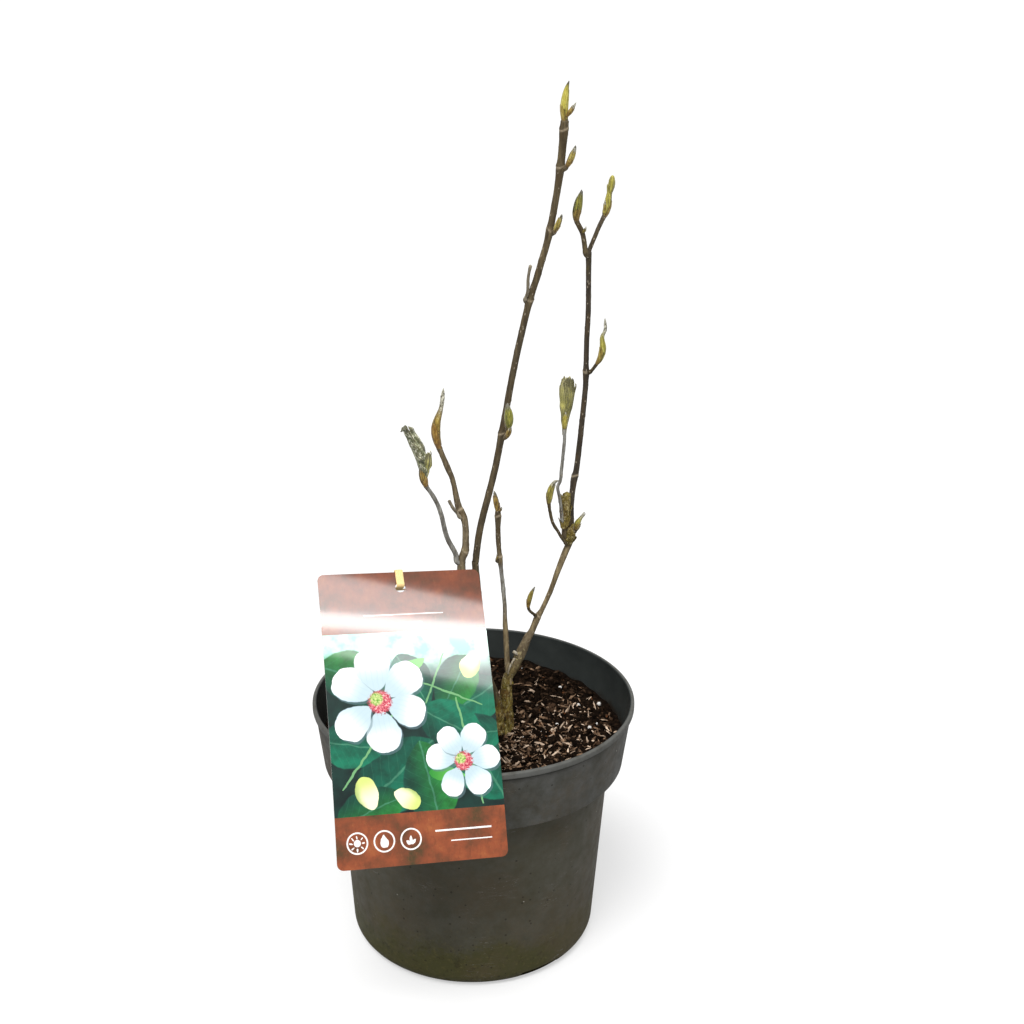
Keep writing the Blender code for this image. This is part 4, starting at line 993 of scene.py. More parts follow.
snags = {
    "stub": {"route": ((26.2, 6.2, 176.2), (24.6, 4.8, 177.2), (23.4, 3.9, 178.6)),
             "radii": (1.1, 0.95), "tint": 1.0},
    "deadTwig": {"route": ((24.0, 5.0, 173.8), (22.4, 3.2, 171.8), (21.0, 2.0, 169.4), (20.2, 1.5, 165.4)),
                 "radii": (0.6, 0.45), "tint": 0.9},
}


def addSnags():
    # a pale broken stub and a thin dead twig on the right stem
    shapes = []
    for number, snag in enumerate(snags.values()):
        path = smoothRoute(snag["route"], 0.4)
        radii = np.linspace(*snag["radii"], len(path))
        shapes.append(barkTube(path, radii, (), 1, 51 + number, snag["tint"]))
    finish, shader = newFinish("dry wood", 0.8)
    tone = ramp(noise(place((1, 1, 0.4)), 1.2, 5, 0.7),
                [(0.35, (0.12, 0.09, 0.06)), (0.5, (0.36, 0.31, 0.22)), (0.65, (0.72, 0.68, 0.58))])
    connect(tone, shader.inputs["Base Color"])
    bump(shader, noise(place(), 0.5, 4), 0.1, 0.6)
    makePiece("snags", joined(shapes), finish)


addFoot()
addSnags()
print("foot")


# Twigs: each a stalk from its limb, then a bud from a part of its length on, with its routes as grown

twigs = {
    "tallTipBud": {
        "on": "tallStem", "tone": 0.75, "tip": 0, "node": "tall_tip_bud",
        "route": ((45.6, 3.8, 489), (46.4, 3.4, 497), (47.7, 3, 502)),
        "bark": 0.3, "pale": 0.9, "radii": (1.6, 1.9, 0.35), "bud": 0,
        "spur": ((46.4, 3.4, 484), (49, 1.8, 487), (51.4, -0.5, 491.6)), "spurRadius": 1.15,
    },
    "tallUpperBud": {
        "on": "tallStem", "height": 457, "bearing": -40, "tone": 0.25, "tip": 0.6, "node": "tall_upper_bud",
        "route": ((49.6, 0, 463.5), (51.6, -2, 470.2)),
        "bark": 0.4, "pale": 0.45, "radii": (1.0, 1.5, 0.35), "bud": 0.15,
    },
    "tallMiddleBud": {
        "on": "tallStem", "height": 424, "bearing": -42, "tone": 0.3, "tip": 0.3, "node": "tall_middle_bud",
        "route": ((43.6, 0, 429.5), (45.4, -1, 434.8)),
        "bark": 0.4, "pale": 0.4, "radii": (1.0, 1.3, 0.35), "bud": 0.15,
    },
    "tallSpentTwig": {
        "on": "tallStem", "height": 387, "bearing": 205, "tone": 0.05, "tip": 0.2, "node": "tall_spent_twig",
        "route": ((28, -0.6, 393.4), (28.1, -1.5, 400), (28.6, -2, 404.4), (29.3, -2, 407.7)),
        "bark": 0.85, "pale": 0, "radii": (0.85, 0.9, 0.3), "bud": 1,
    },
    "tallLowerBud": {
        "on": "tallStem", "height": 313, "bearing": -35, "tone": 0.95, "tip": 0.3, "node": "tall_lower_bud",
        "route": ((18.3, -8, 319.5), (18.5, -9, 326), (17.6, -9, 334)),
        "bark": 0.4, "pale": 0.05, "radii": (1.2, 2.3, 0.4), "bud": 0.32,
        "spur": ((17.4, -6.2, 314), (18.6, -8.4, 317.4), (19.4, -9.8, 322.4)), "spurRadius": 1.3,
    },
    "rightSideBud": {
        "on": "rightStem", "height": 343.5, "bearing": -35, "tone": 0.9, "tip": 0.9, "node": "right_side_bud",
        "route": ((66.4, 16, 347.8), (69.5, 14, 353.6), (70.7, 12.8, 359.4), (70, 12.2, 366),
                  (71.4, 11.5, 370.5), (71.6, 11, 377)),
        "bark": 0.2, "pale": 0.55, "kind": "wisp", "radii": (0.95, 1.7, 0.3), "bud": 0.22,
    },
    "rightForkTwig": {
        "on": "rightStem", "height": 410, "bearing": 230, "tone": 0.9, "tip": 0.2, "node": "right_fork_twig",
        "route": ((58.2, 19.6, 421.5), (54.4, 17.2, 429.5), (54.9, 15, 437), (56.6, 14, 445.8)),
        "bark": 0.3, "pale": 0.15, "radii": (1.4, 2.2, 0.35), "bud": 0.55,
        "spur": ((57.6, 19.2, 422), (59.2, 17.6, 423.6), (59.8, 16.8, 426)), "spurRadius": 0.7,
    },
    "rightTipTwig": {
        "on": "rightStem", "tone": 0.8, "tip": -1, "node": "right_tip_twig",
        "route": ((67.2, 25, 424), (71.1, 27, 432.6), (72.7, 28, 441.5), (74.2, 28, 451.4)),
        "bark": 0.12, "pale": 0.5, "kind": "knob", "radii": (1.2, 1.95, 1.0), "bud": 0.5,
        "spur": ((70.8, 26.6, 432), (70.3, 25.4, 436), (70.5, 25, 439.4)), "spurRadius": 0.75,
    },
    "rightLeafTwig": {
        "on": "rightStub", "height": 258, "bearing": 235, "tone": 0.55, "tip": 0.5, "node": "right_leaf_twig",
        "route": ((49.4, 8, 268), (48.2, 6.6, 275), (47.1, 5.5, 280.8), (48.5, 4.6, 285.3), (48.9, 4, 292),
                  (50, 2, 309), (49.7, 1.8, 316), (50.4, 1, 328)),
        "bark": 1.0, "pale": 0.5, "radii": (0.95, 1.5, 0.5), "bud": 0.83,
    },
    "rightCurvedTwig": {
        "on": "rightStem", "height": 243, "bearing": 232, "tone": 0.7, "tip": 0.6,
        "node": "right_curved_twig",
        "route": ((50, 8, 249.5), (47.9, 6, 253.8), (44.4, 3, 260.7), (42.4, 1, 269.7), (42.1, 0.5, 274.5),
                  (42.8, 0, 280.8), (44.9, 0, 285.4), (47.3, 0, 286.6)),
        "bark": 0.26, "pale": 0.12, "radii": (0.9, 1.75, 0.5), "bud": 0.66,
    },
    "rightLowTwig": {
        "on": "rightStem", "height": 198, "bearing": 222, "tone": 0.45, "tip": 0.3, "node": "right_low_twig",
        "route": ((32, 3, 206), (31.6, 2, 211), (32.8, 0, 217.4), (35, 0, 222)),
        "bark": 0.3, "pale": 0.3, "radii": (0.85, 1.3, 0.3), "bud": 0.45,
    },
    "rightKnotBud": {
        "on": "rightStem", "height": 250.5, "bearing": -45, "tone": 0.95, "tip": 0.9,
        "node": "right_knot_bud",
        "route": ((59.4, 9.6, 258), (63.4, 8.6, 264.6)),
        "bark": 0.3, "pale": 0.45, "kind": "wisp", "radii": (1.2, 1.5, 0.3), "bud": 0.2,
        "spur": ((57.8, 11.4, 251.6), (59.6, 11.8, 253.4), (61.7, 12.6, 256.4)), "spurRadius": 0.75,
    },
    "thinTipBud": {
        "on": "thinStem", "tone": 0.15, "tip": 0.4, "node": "thin_tip_bud",
        "route": ((12.4, 17, 268), (11.1, 17, 274.6)),
        "bark": 0.34, "pale": 0.1, "radii": (1.2, 1.5, 0.35), "bud": 0,
        "spur": ((13.6, 16.6, 262.8), (14.9, 14.9, 263.4), (15.7, 13.6, 266)), "spurRadius": 0.7,
    },
    "thinSideBud": {
        "on": "thinStem", "height": 231.5, "bearing": 215, "tone": 0.3, "tip": 0.2, "node": "thin_side_bud",
        "route": ((13.4, 13.6, 234.4), (13.1, 13.3, 236.6)),
        "bark": 0.34, "pale": 0.1, "radii": (0.6, 0.75, 0.3), "bud": 0.2,
    },
    "leftSpentTwig": {
        "on": "leftStem", "height": 269, "bearing": 235, "tone": 0.05, "tip": 0.2, "node": "left_spent_twig",
        "route": ((-9.9, -15, 272.6), (-11.7, -17, 275.6), (-14.1, -18, 280.6)),
        "bark": 0.85, "pale": 0, "radii": (0.85, 0.8, 0.3), "bud": 1,
    },
    "leftTipBud": {
        "on": "leftStem", "tone": 0.3, "tip": 1, "node": "left_tip_bud",
        "route": ((-21.3, -5.4, 314), (-21.2, -5, 321), (-19, -4, 328.5), (-17.9, -3.5, 335),
                  (-16.8, -3, 340.4)),
        "bark": 0.36, "pale": 0.1, "kind": "wisp", "radii": (1.4, 2.3, 0.4), "bud": 0,
    },
    "leftLeafTwig": {
        "on": "leftBough", "tone": 0.1, "tip": 0.5, "node": "left_leaf_twig",
        "route": ((-27.9, -30.4, 299), (-28.6, -31.4, 306)),
        "bark": 0.95, "pale": 0.2, "radii": (1.1, 1.9, 0.8), "bud": 0,
    },
}
growth = {
    "step": 0.45, "sides": 22, "shell": 0.16, "leaf": 0.16,
    # hairs on a long bud, a short one and a spur: how many, and how long; and half their thickness
    "hairs": {"long": (190, 0.95), "short": (50, 0.95), "spur": (40, 0.7)}, "hairThin": 0.035,
    # on a twig: its swelling where it leaves the limb, and the rings below its bud
    "swell": 0.28, "swellTall": 1.1, "rings": (0.0, 1.0, 1.9), "ring": 0.14, "ringTall": 0.28,
    # the length inside a limb, from its skin or from its end; what stalk and bud overlap; a long bud's least
    "inLimb": (1.8, 3.2), "overlap": (1.6, 0.5), "longFrom": 6.0,
    # on a bud: its flattening, lengthwise folds and seam, as shares of its radius, and a wisp's twist
    "flat": 0.09, "folds": (0.05, 0.035), "seam": 0.16, "seamWide": 0.2, "twist": 0.45,
    # each shell of scales: its start and end along the bud, bearing, half width as an angle, lift and flare
    "shells": ((0.0, 0.42, 20, 1.5, 0.16, 0.1), (0.06, 0.8, 200, 1.75, 0.05, 0.12),
               (0.3, 0.97, 75, 1.3, 0.02, 0.2)),
    # girth along a bud: shares of the step from its stalk's radius to its widest, then down to its tip's
    "kinds": {
        "point": ((0, 0), (0.1, 0.4), (0.25, 0.88), (0.4, 1), (0.55, 0.93), (0.7, 0.72), (0.85, 0.42),
                  (1, 0)),
        "wisp": ((0, 0), (0.12, 0.6), (0.26, 1), (0.4, 0.95), (0.55, 0.62), (0.68, 0.42), (0.86, 0.42),
                 (1, 0)),
        "knob": ((0, 0), (0.12, 0.7), (0.28, 1), (0.45, 0.75), (0.58, 0.5), (0.75, 0.95), (0.9, 0.9),
                 (1, 0.35)),
    },
}
knots = {
    # rough brown scales left on the stub and in the knot that it grows from
    "stub": {"route": ((51.9, 11.4, 254), (52.1, 11.8, 264), (52.8, 12.1, 274.6)),
             "radii": (2.4, 3.1, 2.5), "scales": 9},
    "knot": {"route": ((54.4, 12.6, 243.5), (55.6, 12.2, 249), (57.4, 11.9, 256)),
             "radii": (1.8, 3.1, 1.0), "scales": 7},
}
leaves = {
    "fan": {
        "blades": (
            {"route": ((49.8, 1.4, 313), (50.4, 0.2, 330), (51.2, -0.6, 346.6)),
             "widths": (2.2, 8.4), "bearing": 8},
            {"route": ((49.6, 2.0, 313), (49.0, 0.8, 330), (49.2, 0.4, 345)),
             "widths": (2.0, 6.4), "bearing": -26},
            {"route": ((50.0, 2.0, 313), (52.0, 1.4, 329), (53.8, 1.0, 342.4)),
             "widths": (1.8, 6.6), "bearing": 30},
            {"route": ((49.8, 2.8, 313), (50.8, 3.0, 330), (51.6, 3.4, 346)),
             "widths": (2.0, 7.8), "bearing": -4},
        ),
        "pleats": 4.0, "pleat": 1.2, "crumple": 1.1, "ragged": 0.12, "roll": 0.22, "tone": 1.0, "spread": 0.6,
        "widening": 1.7,
    },
    "left": {
        "blades": (
            {"route": ((-27.4, -30, 296.5), (-27.8, -31.8, 306.5), (-30.6, -34.2, 317),
                       (-36.2, -36.4, 328.4)),
             "widths": (2.2, 7.2), "bearing": 14},
            {"route": ((-27.4, -31, 297), (-28.4, -33.4, 306), (-30.4, -35.4, 314), (-32.8, -36.8, 320)),
             "widths": (2.0, 6.0), "bearing": -28},
            {"route": ((-27, -29.8, 295), (-25.2, -32.2, 303), (-24.2, -34.0, 309), (-24.8, -35.0, 314)),
             "widths": (2.6, 6.2), "bearing": 30, "tone": 1.0},
            {"route": ((-27.2, -30.6, 298), (-28.0, -33.8, 306), (-30.2, -35.8, 314)),
             "widths": (2.0, 5.6), "bearing": 4},
            {"route": ((-34.8, -35.8, 325.6), (-36.4, -37.0, 328.6), (-38.4, -37.6, 328.4),
                       (-38.6, -37.4, 326.0)),
             "widths": (1.8, 4.2), "bearing": 70, "tone": -0.6},
        ),
        "pleats": 1.6, "pleat": 0.8, "crumple": 1.3, "ragged": 0.1, "roll": 0.7, "tone": 0.0, "spread": 0.88,
        "widening": 0.9,
    },
}


def budRadii(share, stalk, widest, tip, kind="point"):
    # from the stalk's radius up to the widest, then down to the tip's, by the kind's shares
    places, fullness = zip(*growth["kinds"][kind])
    full = np.interp(share, places, fullness)
    peak = places[int(np.argmax(fullness))]
    return np.where(share < peak, stalk + (widest - stalk) * full, tip + (widest - tip) * full)


def budCore(path, radii, looks, seed):
    # radius(s, a) = budRadii(s) (1 + slight flattening + fine lengthwise folds), less a seam that winds round
    share = runShare(path)
    if radii[-1] == "wisp":
        side, up = crossFrame(path)[1:]
        twist = np.clip((share - 0.5) / 0.5, 0, 1)[:, None] * growth["twist"]
        path = path + twist * (side * np.cos(13 * share)[:, None] + up * np.sin(13 * share)[:, None])
    s, a = np.meshgrid(share, fullTurn(growth["sides"]), indexing="ij")
    broad, fine = growth["folds"]
    folds = broad * np.sin(5 * a + 4 * s + seed) + fine * np.sin(11 * a - 3 * s + 2 * seed)
    away = (a - seed - 1.6 * s + np.pi) % (2 * np.pi) - np.pi
    seam = np.exp(-(away / growth["seamWide"]) ** 2) * growth["seam"] * np.sin(np.pi * np.clip(s, 0, 1))
    shape = 1 + growth["flat"] * np.cos(2 * a + seed) + folds * (0.5 + s) - seam
    reach = budRadii(share, *radii)[:, None] * shape
    surface = tube(path, reach, growth["sides"])
    count = len(surface["points"])
    fold = np.concatenate([(folds * 8 - seam * 6).ravel(), [0, 0]])
    even = {name: np.full(count, float(value)) for name, value in looks.items()}
    surface["marks"].update(fold=fold, **even)
    return surface


def scaleShell(path, radii, shell, looks, seed):
    # point(s, u) = path(s) + (radius(s) + lift + flare s²) ring(bearing + spread(s) u), thin, with a pointed
    # end
    start, end, bearing, spread, lift, flare = shell
    t = np.linspace(0, 1, 26)
    share = start + (end - start) * t
    frames = (path, *crossFrame(path)[1:])
    centre, side, up = (sampled(values, runShare(path), share)[:, None] for values in frames)
    u = np.linspace(-1, 1, 17)
    half = spread * np.sqrt(np.clip(1 - t ** 2.4, 0.003, 1))[:, None]
    a = math.radians(bearing) + seed + half * u
    wave = 0.05 * np.sin(9 * u * half + seed) * t[:, None]
    reach = budRadii(share, *radii)[:, None] * 1.06 + lift + flare * t[:, None] ** 2 + wave
    middle = centre + (side * np.cos(a)[..., None] + up * np.sin(a)[..., None]) * reach[..., None]
    grid = np.ones(a.shape)
    marks = {"share": share[:, None] * grid, "fold": -0.5 * np.abs(u)[None] ** 6 * grid}
    marks.update({name: value * grid for name, value in looks.items()})
    return slab(middle, growth["shell"], marks)


def pleatedBlade(blade, leaf, seed):
    # point(s, u) = rib(s) + across(s) u w(s) + up(s) (pleats of u, deeper towards the end, + crumple
    # + rolled edges)
    path = smoothRoute(blade["route"], 0.55)
    u = np.linspace(-1, 1, 41)
    t = np.linspace(0, 1, len(path))
    ends = leaf["ragged"] * (0.5 + 0.5 * np.sin(u * 5.3 + seed * 1.7)) * (0.6 + 0.4 * np.sin(u * 12.1 + seed))
    share = t[:, None] * (1 - ends)
    rib = sampled(path, runShare(path), share)
    along = directions(path)
    turn = math.radians(blade["bearing"])
    across = np.array([math.cos(turn), math.sin(turn), 0])
    across = unit(across - along * (along @ across)[:, None])
    up = np.cross(along, across)
    narrow, wide = blade["widths"]
    half = (narrow + (wide - narrow) * np.sin(t * np.pi * leaf["spread"]) ** leaf["widening"])[:, None] / 2
    half = half * (1 - 0.3 * np.clip((t[:, None] - 0.8) / 0.2, 0, 1) ** 2)
    depth = leaf["pleat"] * (0.25 + 0.75 * t[:, None])
    pleats = depth * np.abs((u * leaf["pleats"] + 0.5) % 1.0 - 0.5)[None] * 2
    spot = np.stack([share * 9 + seed, u[None] * half * 0.5 + 0 * share, 0 * share + seed], -1).reshape(-1, 3)
    crumple = leaf["crumple"] * lumpNoise(spot, 1.3, seed).reshape(share.shape) * (0.2 + t[:, None])
    sway = leaf["crumple"] * lumpNoise(spot + 40, 1.1, seed + 2).reshape(share.shape) * t[:, None] * 0.8
    rolled = leaf["roll"] * half * np.abs(u)[None] ** 2.5
    middle = (rib + across[:, None] * (u[None] * half * (1 - 0.12 * t[:, None]) + sway)[..., None]
              + up[:, None] * (pleats + crumple + rolled)[..., None])
    grid = np.ones(share.shape)
    marks = {"share": share, "edge": np.abs(u)[None] * grid, "tone": blade.get("tone", leaf["tone"]) * grid,
             "fold": (pleats / (depth + 0.01) - 0.5) + crumple * 0.6}
    return slab(middle, growth["leaf"], marks)


def budFinish():
    # base brown, body orange-brown to green by tone and lime by pale, its end dark or pale grey by tip, and
    # painted shade in its folds
    finish, shader = newFinish("bud scales", 0.5, Specular_IOR_Level=0.45, Sheen_Weight=0.35,
                               Sheen_Roughness=0.4)
    where = place()
    streaks = noise(place((1, 1, 0.22)), 0.9, 5, 0.65)
    green = ramp(streaks, [(0.34, (0.06, 0.075, 0.006)), (0.5, (0.18, 0.19, 0.018)),
                           (0.66, (0.4, 0.38, 0.06))])
    brown = ramp(streaks, [(0.34, (0.07, 0.026, 0.004)), (0.5, (0.28, 0.13, 0.018)),
                           (0.66, (0.5, 0.32, 0.08))])
    lime = ramp(streaks, [(0.34, (0.3, 0.24, 0.03)), (0.5, (0.55, 0.48, 0.07)), (0.66, (0.76, 0.7, 0.2))])
    colour = mix(mark("tone"), brown, green)
    colour = paint(colour, lime, mark("pale"))
    root = band(mark("share"), 0.2, 0.0)
    colour = paint(colour, (0.16, 0.075, 0.022), root, 0.6)
    grey = ramp(noise(where, 0.9, 3),
                [(0.38, (0.07, 0.06, 0.04)), (0.5, (0.5, 0.48, 0.36)), (0.65, (0.78, 0.75, 0.62))])
    tip = add("Clamp", {"Value": mark("tip")}).outputs[0]
    last = mix(tip, (0.035, 0.03, 0.016), grey)
    ragged = plus(mark("share"), times(minus(streaks, 0.5), 0.5))
    reached = band(sums("MULTIPLY_ADD", tip, 0.25, ragged), 0.76, 1.0)
    changed = band(mark("tip"), -1.0, 0.0)  # a bud with tip -1 keeps its colour to the end
    colour = paint(colour, last, times(reached, changed))
    # painted shade in the folds, the seam and along the edges of the scale shells
    creaseShade = times(band(mark("fold"), 0.1, -0.7), 0.75)
    colour = paint(colour, (0.028, 0.02, 0.005), creaseShade)
    spots = placeGroup(specks, {"Vector": where, "Size": 1.1, "Radius": 0.22, "Share": 0.3})
    colour = paint(colour, (0.03, 0.018, 0.006), spots["Mask"], 0.45)
    connect(colour, shader.inputs["Base Color"])
    bump(shader, noise(place((1, 1, 0.15)), 0.35, 3), 0.06, 0.6)
    return finish


def leafFinish():
    # a young leaf: cream at its foot, olive-yellow, then grey-green; a wilted one is blotched dark, with
    # cream painted highlights
    finish, shader = newFinish("young leaf", 0.6, Sheen_Weight=0.3, Sheen_Roughness=0.5)
    where = place()
    patch = noise(where, 2.4, 5, 0.65)
    along = plus(mark("share"), times(minus(patch, 0.5), 0.7))
    fresh = ramp(along, [(0.08, (0.62, 0.52, 0.27)), (0.32, (0.52, 0.47, 0.12)), (0.6, (0.46, 0.43, 0.11)),
                         (0.9, (0.44, 0.4, 0.19))])
    # wilted colour: dark and grey-green blotches, with cream ones as painted highlights of its crumples
    spent = ramp(noise(where, 2.3, 4, 0.7),
                 [(0.38, (0.012, 0.018, 0.006)), (0.46, (0.09, 0.11, 0.04)), (0.52, (0.3, 0.31, 0.16)),
                  (0.59, (0.82, 0.8, 0.64))])
    tone = add("Clamp", {"Value": mark("tone")}).outputs[0]
    colour = mix(tone, spent, fresh)
    dark = band(mark("tone"), -0.1, -0.5)
    colour = paint(colour, (0.035, 0.035, 0.025), dark, 0.85)
    edge = band(mark("edge"), 0.7, 1.0)
    colour = paint(colour, (0.34, 0.33, 0.2), edge, 0.35)
    # painted shade in the creases of the pleats and crumples
    creaseShade = times(band(mark("fold"), -0.12, -0.5), 0.85)
    colour = paint(colour, (0.08, 0.07, 0.014), creaseShade)
    veins = noise(place((1, 1, 0.3)), 0.7, 3, 0.6)
    thin = band(unsigned(minus(veins, 0.5)), 0.035, 0.0)
    colour = paint(colour, (0.42, 0.42, 0.24), thin, 0.4)
    connect(colour, shader.inputs["Base Color"])
    bump(shader, noise(where, 0.6, 4), 0.12, 0.6)
    return finish


def hairs(path, radii, kind):
    # short silky hairs lying forward on a bud: slim three-sided spikes from its skin
    count, length = growth["hairs"][kind]
    share, turn = draws.uniform(0.05, 0.95, count), draws.uniform(0, 2 * np.pi, count)
    frames = (path, *crossFrame(path))
    centre, along, side, up = (sampled(values, runShare(path), share) for values in frames)
    out = side * np.cos(turn)[:, None] + up * np.sin(turn)[:, None]
    foot = centre + out * budRadii(share, *radii)[:, None]
    lean = draws.uniform(0.15, 0.6, (count, 1))
    way = along + out * lean + draws.normal(0, 0.18, (count, 3))
    tip = foot + way * length * draws.uniform(0.5, 1.2, (count, 1))
    around = np.cross(along, out) * growth["hairThin"]
    points = np.stack([foot + around, foot - around, foot + out * growth["hairThin"], tip], 1).reshape(-1, 3)
    tris = np.array([(0, 1, 3), (1, 2, 3), (2, 0, 3), (0, 2, 1)])[None] + np.arange(count)[:, None, None] * 4
    return {"points": points, "quads": np.zeros((0, 4), int), "tris": tris.reshape(-1, 3), "marks": {}}


def addTwigs():
    stalks, buds, down = [], [], []
    shells = growth["shells"]
    for number, twig in enumerate(twigs.values()):
        path = growthPath(twig, limbs, growth["step"])
        run = arcLength(path)
        limbPath, limbGirth = limbs[twig["on"]]
        skin, lead = growth["inLimb"]
        if "bearing" in twig:
            lead = skin + np.interp(twig["height"], limbPath[:, 2], limbGirth)
        begin = lead + (run[-1] - lead) * twig["bud"]
        stem = path[run <= begin + growth["overlap"][0]]
        stalk, widest, tip = twig["radii"]
        along = arcLength(stem)
        reach = stalk + growth["swell"] * np.exp(-((along - lead - 0.4) / growth["swellTall"]) ** 2)
        for ring in growth["rings"]:
            reach = reach + growth["ring"] * np.exp(-((along - (begin - ring)) / growth["ringTall"]) ** 2)
        stalks.append(barkTube(stem, reach, (), 1, 60 + number, twig["bark"]))
        if twig["bud"] == 1:
            continue
        bud = path[run >= begin - growth["overlap"][1]]
        radii = (stalk * 0.92, widest, tip * 0.5, twig.get("kind", "point"))
        looks = {"tone": twig["tone"], "tip": twig["tip"], "pale": twig["pale"]}
        buds.append(budCore(bud, radii, looks, number * 1.3))
        long = arcLength(bud)[-1] > growth["longFrom"]
        # the lowest shell is browner than the rest
        worn = {**looks, "tone": twig["tone"] * 0.35, "pale": twig["pale"] * 0.4}
        for shell in shells if long else shells[:1]:
            buds.append(scaleShell(bud, radii, shell, worn if shell[0] == 0.0 else looks, number * 1.3))
        down.append(hairs(bud, radii, "long" if long else "short"))
        if "spur" in twig:
            spur = smoothRoute(twig["spur"], growth["step"])
            thick = (twig["spurRadius"] * 0.8, twig["spurRadius"], 0.12)
            green = twig["tone"] * (0.15 if twig["spurRadius"] > 1 else 0.5)
            brown = {"tone": green, "tip": 0.8, "pale": 0.15}
            buds.append(budCore(spur, (*thick, "point"), brown, number + 3.0))
            buds.append(scaleShell(spur, thick, shells[1], brown, number + 3.0))
            down.append(hairs(spur, thick, "spur"))
    rough = []
    for number, knot in enumerate(knots.values()):
        path = smoothRoute(knot["route"], growth["step"])
        looks = {"age": 1, "tint": 0.4, "pore": 0, "scar": 0, "ridge": 0}
        for turn in range(knot["scales"]):
            start = 0.8 * turn / knot["scales"]
            shell = (start, min(start + 0.3, 1.0), 97 * turn, 0.75, -0.4 + 0.22 * (turn % 3), 0.9)
            rough.append(scaleShell(path, knot["radii"], shell, looks, number + turn * 0.7))
        core = (*(radius * 0.85 for radius in knot["radii"]), "point")
        rough.append(budCore(path, core, looks, number + 5.0))
    makePiece("knotScales", joined(rough), bark)
    makePiece("twigStalks", joined(stalks), bark, [twig["node"] for twig in twigs.values()])
    makePiece("twigBuds", joined(buds), budFinish())
    finish, shader = newFinish("silky hair", 0.45, Sheen_Weight=0.5)
    connect(ramp(noise(place(), 3), [(0.3, (0.3, 0.29, 0.2)), (0.7, (0.62, 0.6, 0.48))]),
            shader.inputs["Base Color"])
    makePiece("budHairs", joined(down), finish, smooth=False)
    blades = [pleatedBlade(blade, leaf, 3 + 2 * number) for leaf in leaves.values()
              for number, blade in enumerate(leaf["blades"])]
    makePiece("youngLeaves", joined(blades), leafFinish())


addTwigs()
print("twigs")


# Label: a glossy printed card, bowed back, with a hole near its top; u is across and v down, in millimetres

label = {
    "width": 90.0, "height": 158.0, "thickness": 0.5, "corner": 3.5, "aboveRim": 117.7,
    "lean": 34.8, "bow": 0.098, "turn": 15.0, "roll": -3.4, "shift": -44.0,
    "restBearing": -81.6, "restOut": 1.0, "restDown": 1.5,
    "holeRadius": 2.8, "holeBelowTop": 9.2, "topBand": 35.0, "bottomBand": 131.5,
}
picture = {
    # each leaf, petal or bud: its foot (u, v), its angle from the right and clockwise, its length and width
    "leaves": ((-48, 52, 20, 46, 30), (-30, 128, -40, 52, 36), (46, 128, -118, 58, 34),
               (10, 138, -100, 44, 30), (48, 66, 150, 38, 28), (-50, 92, 10, 34, 26),
               (34, 50, 122, 36, 24), (-6, 48, 62, 32, 22), (48, 92, 176, 34, 22),
               (-44, 136, -20, 40, 24), (4, 78, 30, 40, 26)),
    "stalks": ((-40, 118, -52, 66, 1.2), (34, 130, -100, 58, 1.2), (-2, 60, 24, 44, 1.0),
               (20, 48, 115, 30, 1.0)),
    "lime": ((6, 112, 8, 20, 8), (-4, 58, -30, 15, 7)),
    "petals": (
        (-20, 70, -150, 24, 19), (-18, 68, -96, 25, 20), (-14, 70, -38, 24, 19), (-14, 74, 20, 22, 18),
        (-18, 77, 82, 23, 19), (-22, 75, 140, 23, 18),
        (22, 106, -170, 17, 14), (23, 104, -118, 17, 13), (26, 104, -60, 18, 14), (28, 107, -6, 17, 13),
        (26, 110, 52, 17, 14), (22, 110, 112, 16, 13)),
    "buds": ((30, 62, -60, 16, 11), (-30, 112, 72, 18, 12), (0, 128, -150, 15, 10)),
    "centres": ((-17, 73, 8.0), (25, 107, 6.4)),
}
signs = {
    "rings": ((-34, 145, 5.2), (-20, 145, 5.2), (-6, 145, 5.2)),
    "lines": ((22, 142, 30, 0.9), (26, 147.5, 22, 0.6), (0, 25, 44, 0.45), (0, 30, 20, 0.45)),
    "sprig": ((-90, 4.2), (-35, 3.4), (-145, 3.4)), "rays": 8,
}


def labelPoint(across, up, depth=0.0):
    # the card bows to a circle: rise = sin(bow up) / bow and back = (1 - cos(bow up)) / bow; then it rolls,
    # leans and turns
    angles = ("turn", "lean", "roll", "bow", "restBearing")
    turn, lean, roll, bow, bearing = (math.radians(label[name]) for name in angles)
    level = np.array([math.cos(turn), math.sin(turn), 0])
    inward = np.array([-math.sin(turn), math.cos(turn), 0])
    out = potSize["rim"] + label["restOut"]
    rest = np.array([out * math.cos(bearing), out * math.sin(bearing), potSize["height"] - label["restDown"]])
    across, up = np.asarray(across, float), np.asarray(up, float)
    rise = np.sin(bow * up) / bow - depth * np.sin(bow * up)
    back = (1 - np.cos(bow * up)) / bow + depth * np.cos(bow * up)
    aside = across + label["shift"]
    rolled = aside * math.cos(roll) - rise * math.sin(roll)
    rise = aside * math.sin(roll) + rise * math.cos(roll)
    inwards = (rise * math.sin(lean) + back * math.cos(lean))[..., None]
    height = (rise * math.cos(lean) - back * math.sin(lean))[..., None]
    return rest + level * rolled[..., None] + inward * inwards + np.array([0, 0, 1]) * height


def printShape(where, row, skew, power):
    # one leaf, petal or bud of the print, from its row in the picture
    x, y, angle, length, width = row
    looks = {"Vector": where, "U": x, "V": y, "Angle": math.radians(angle), "Length": length, "Width": width}
    return placeGroup(outline, {**looks, "Skew": skew, "Power": power})


def distance(vector, x, y):
    return add("VectorMath", {0: vector, 1: (x, y, 0)}, operation="DISTANCE").outputs["Value"]


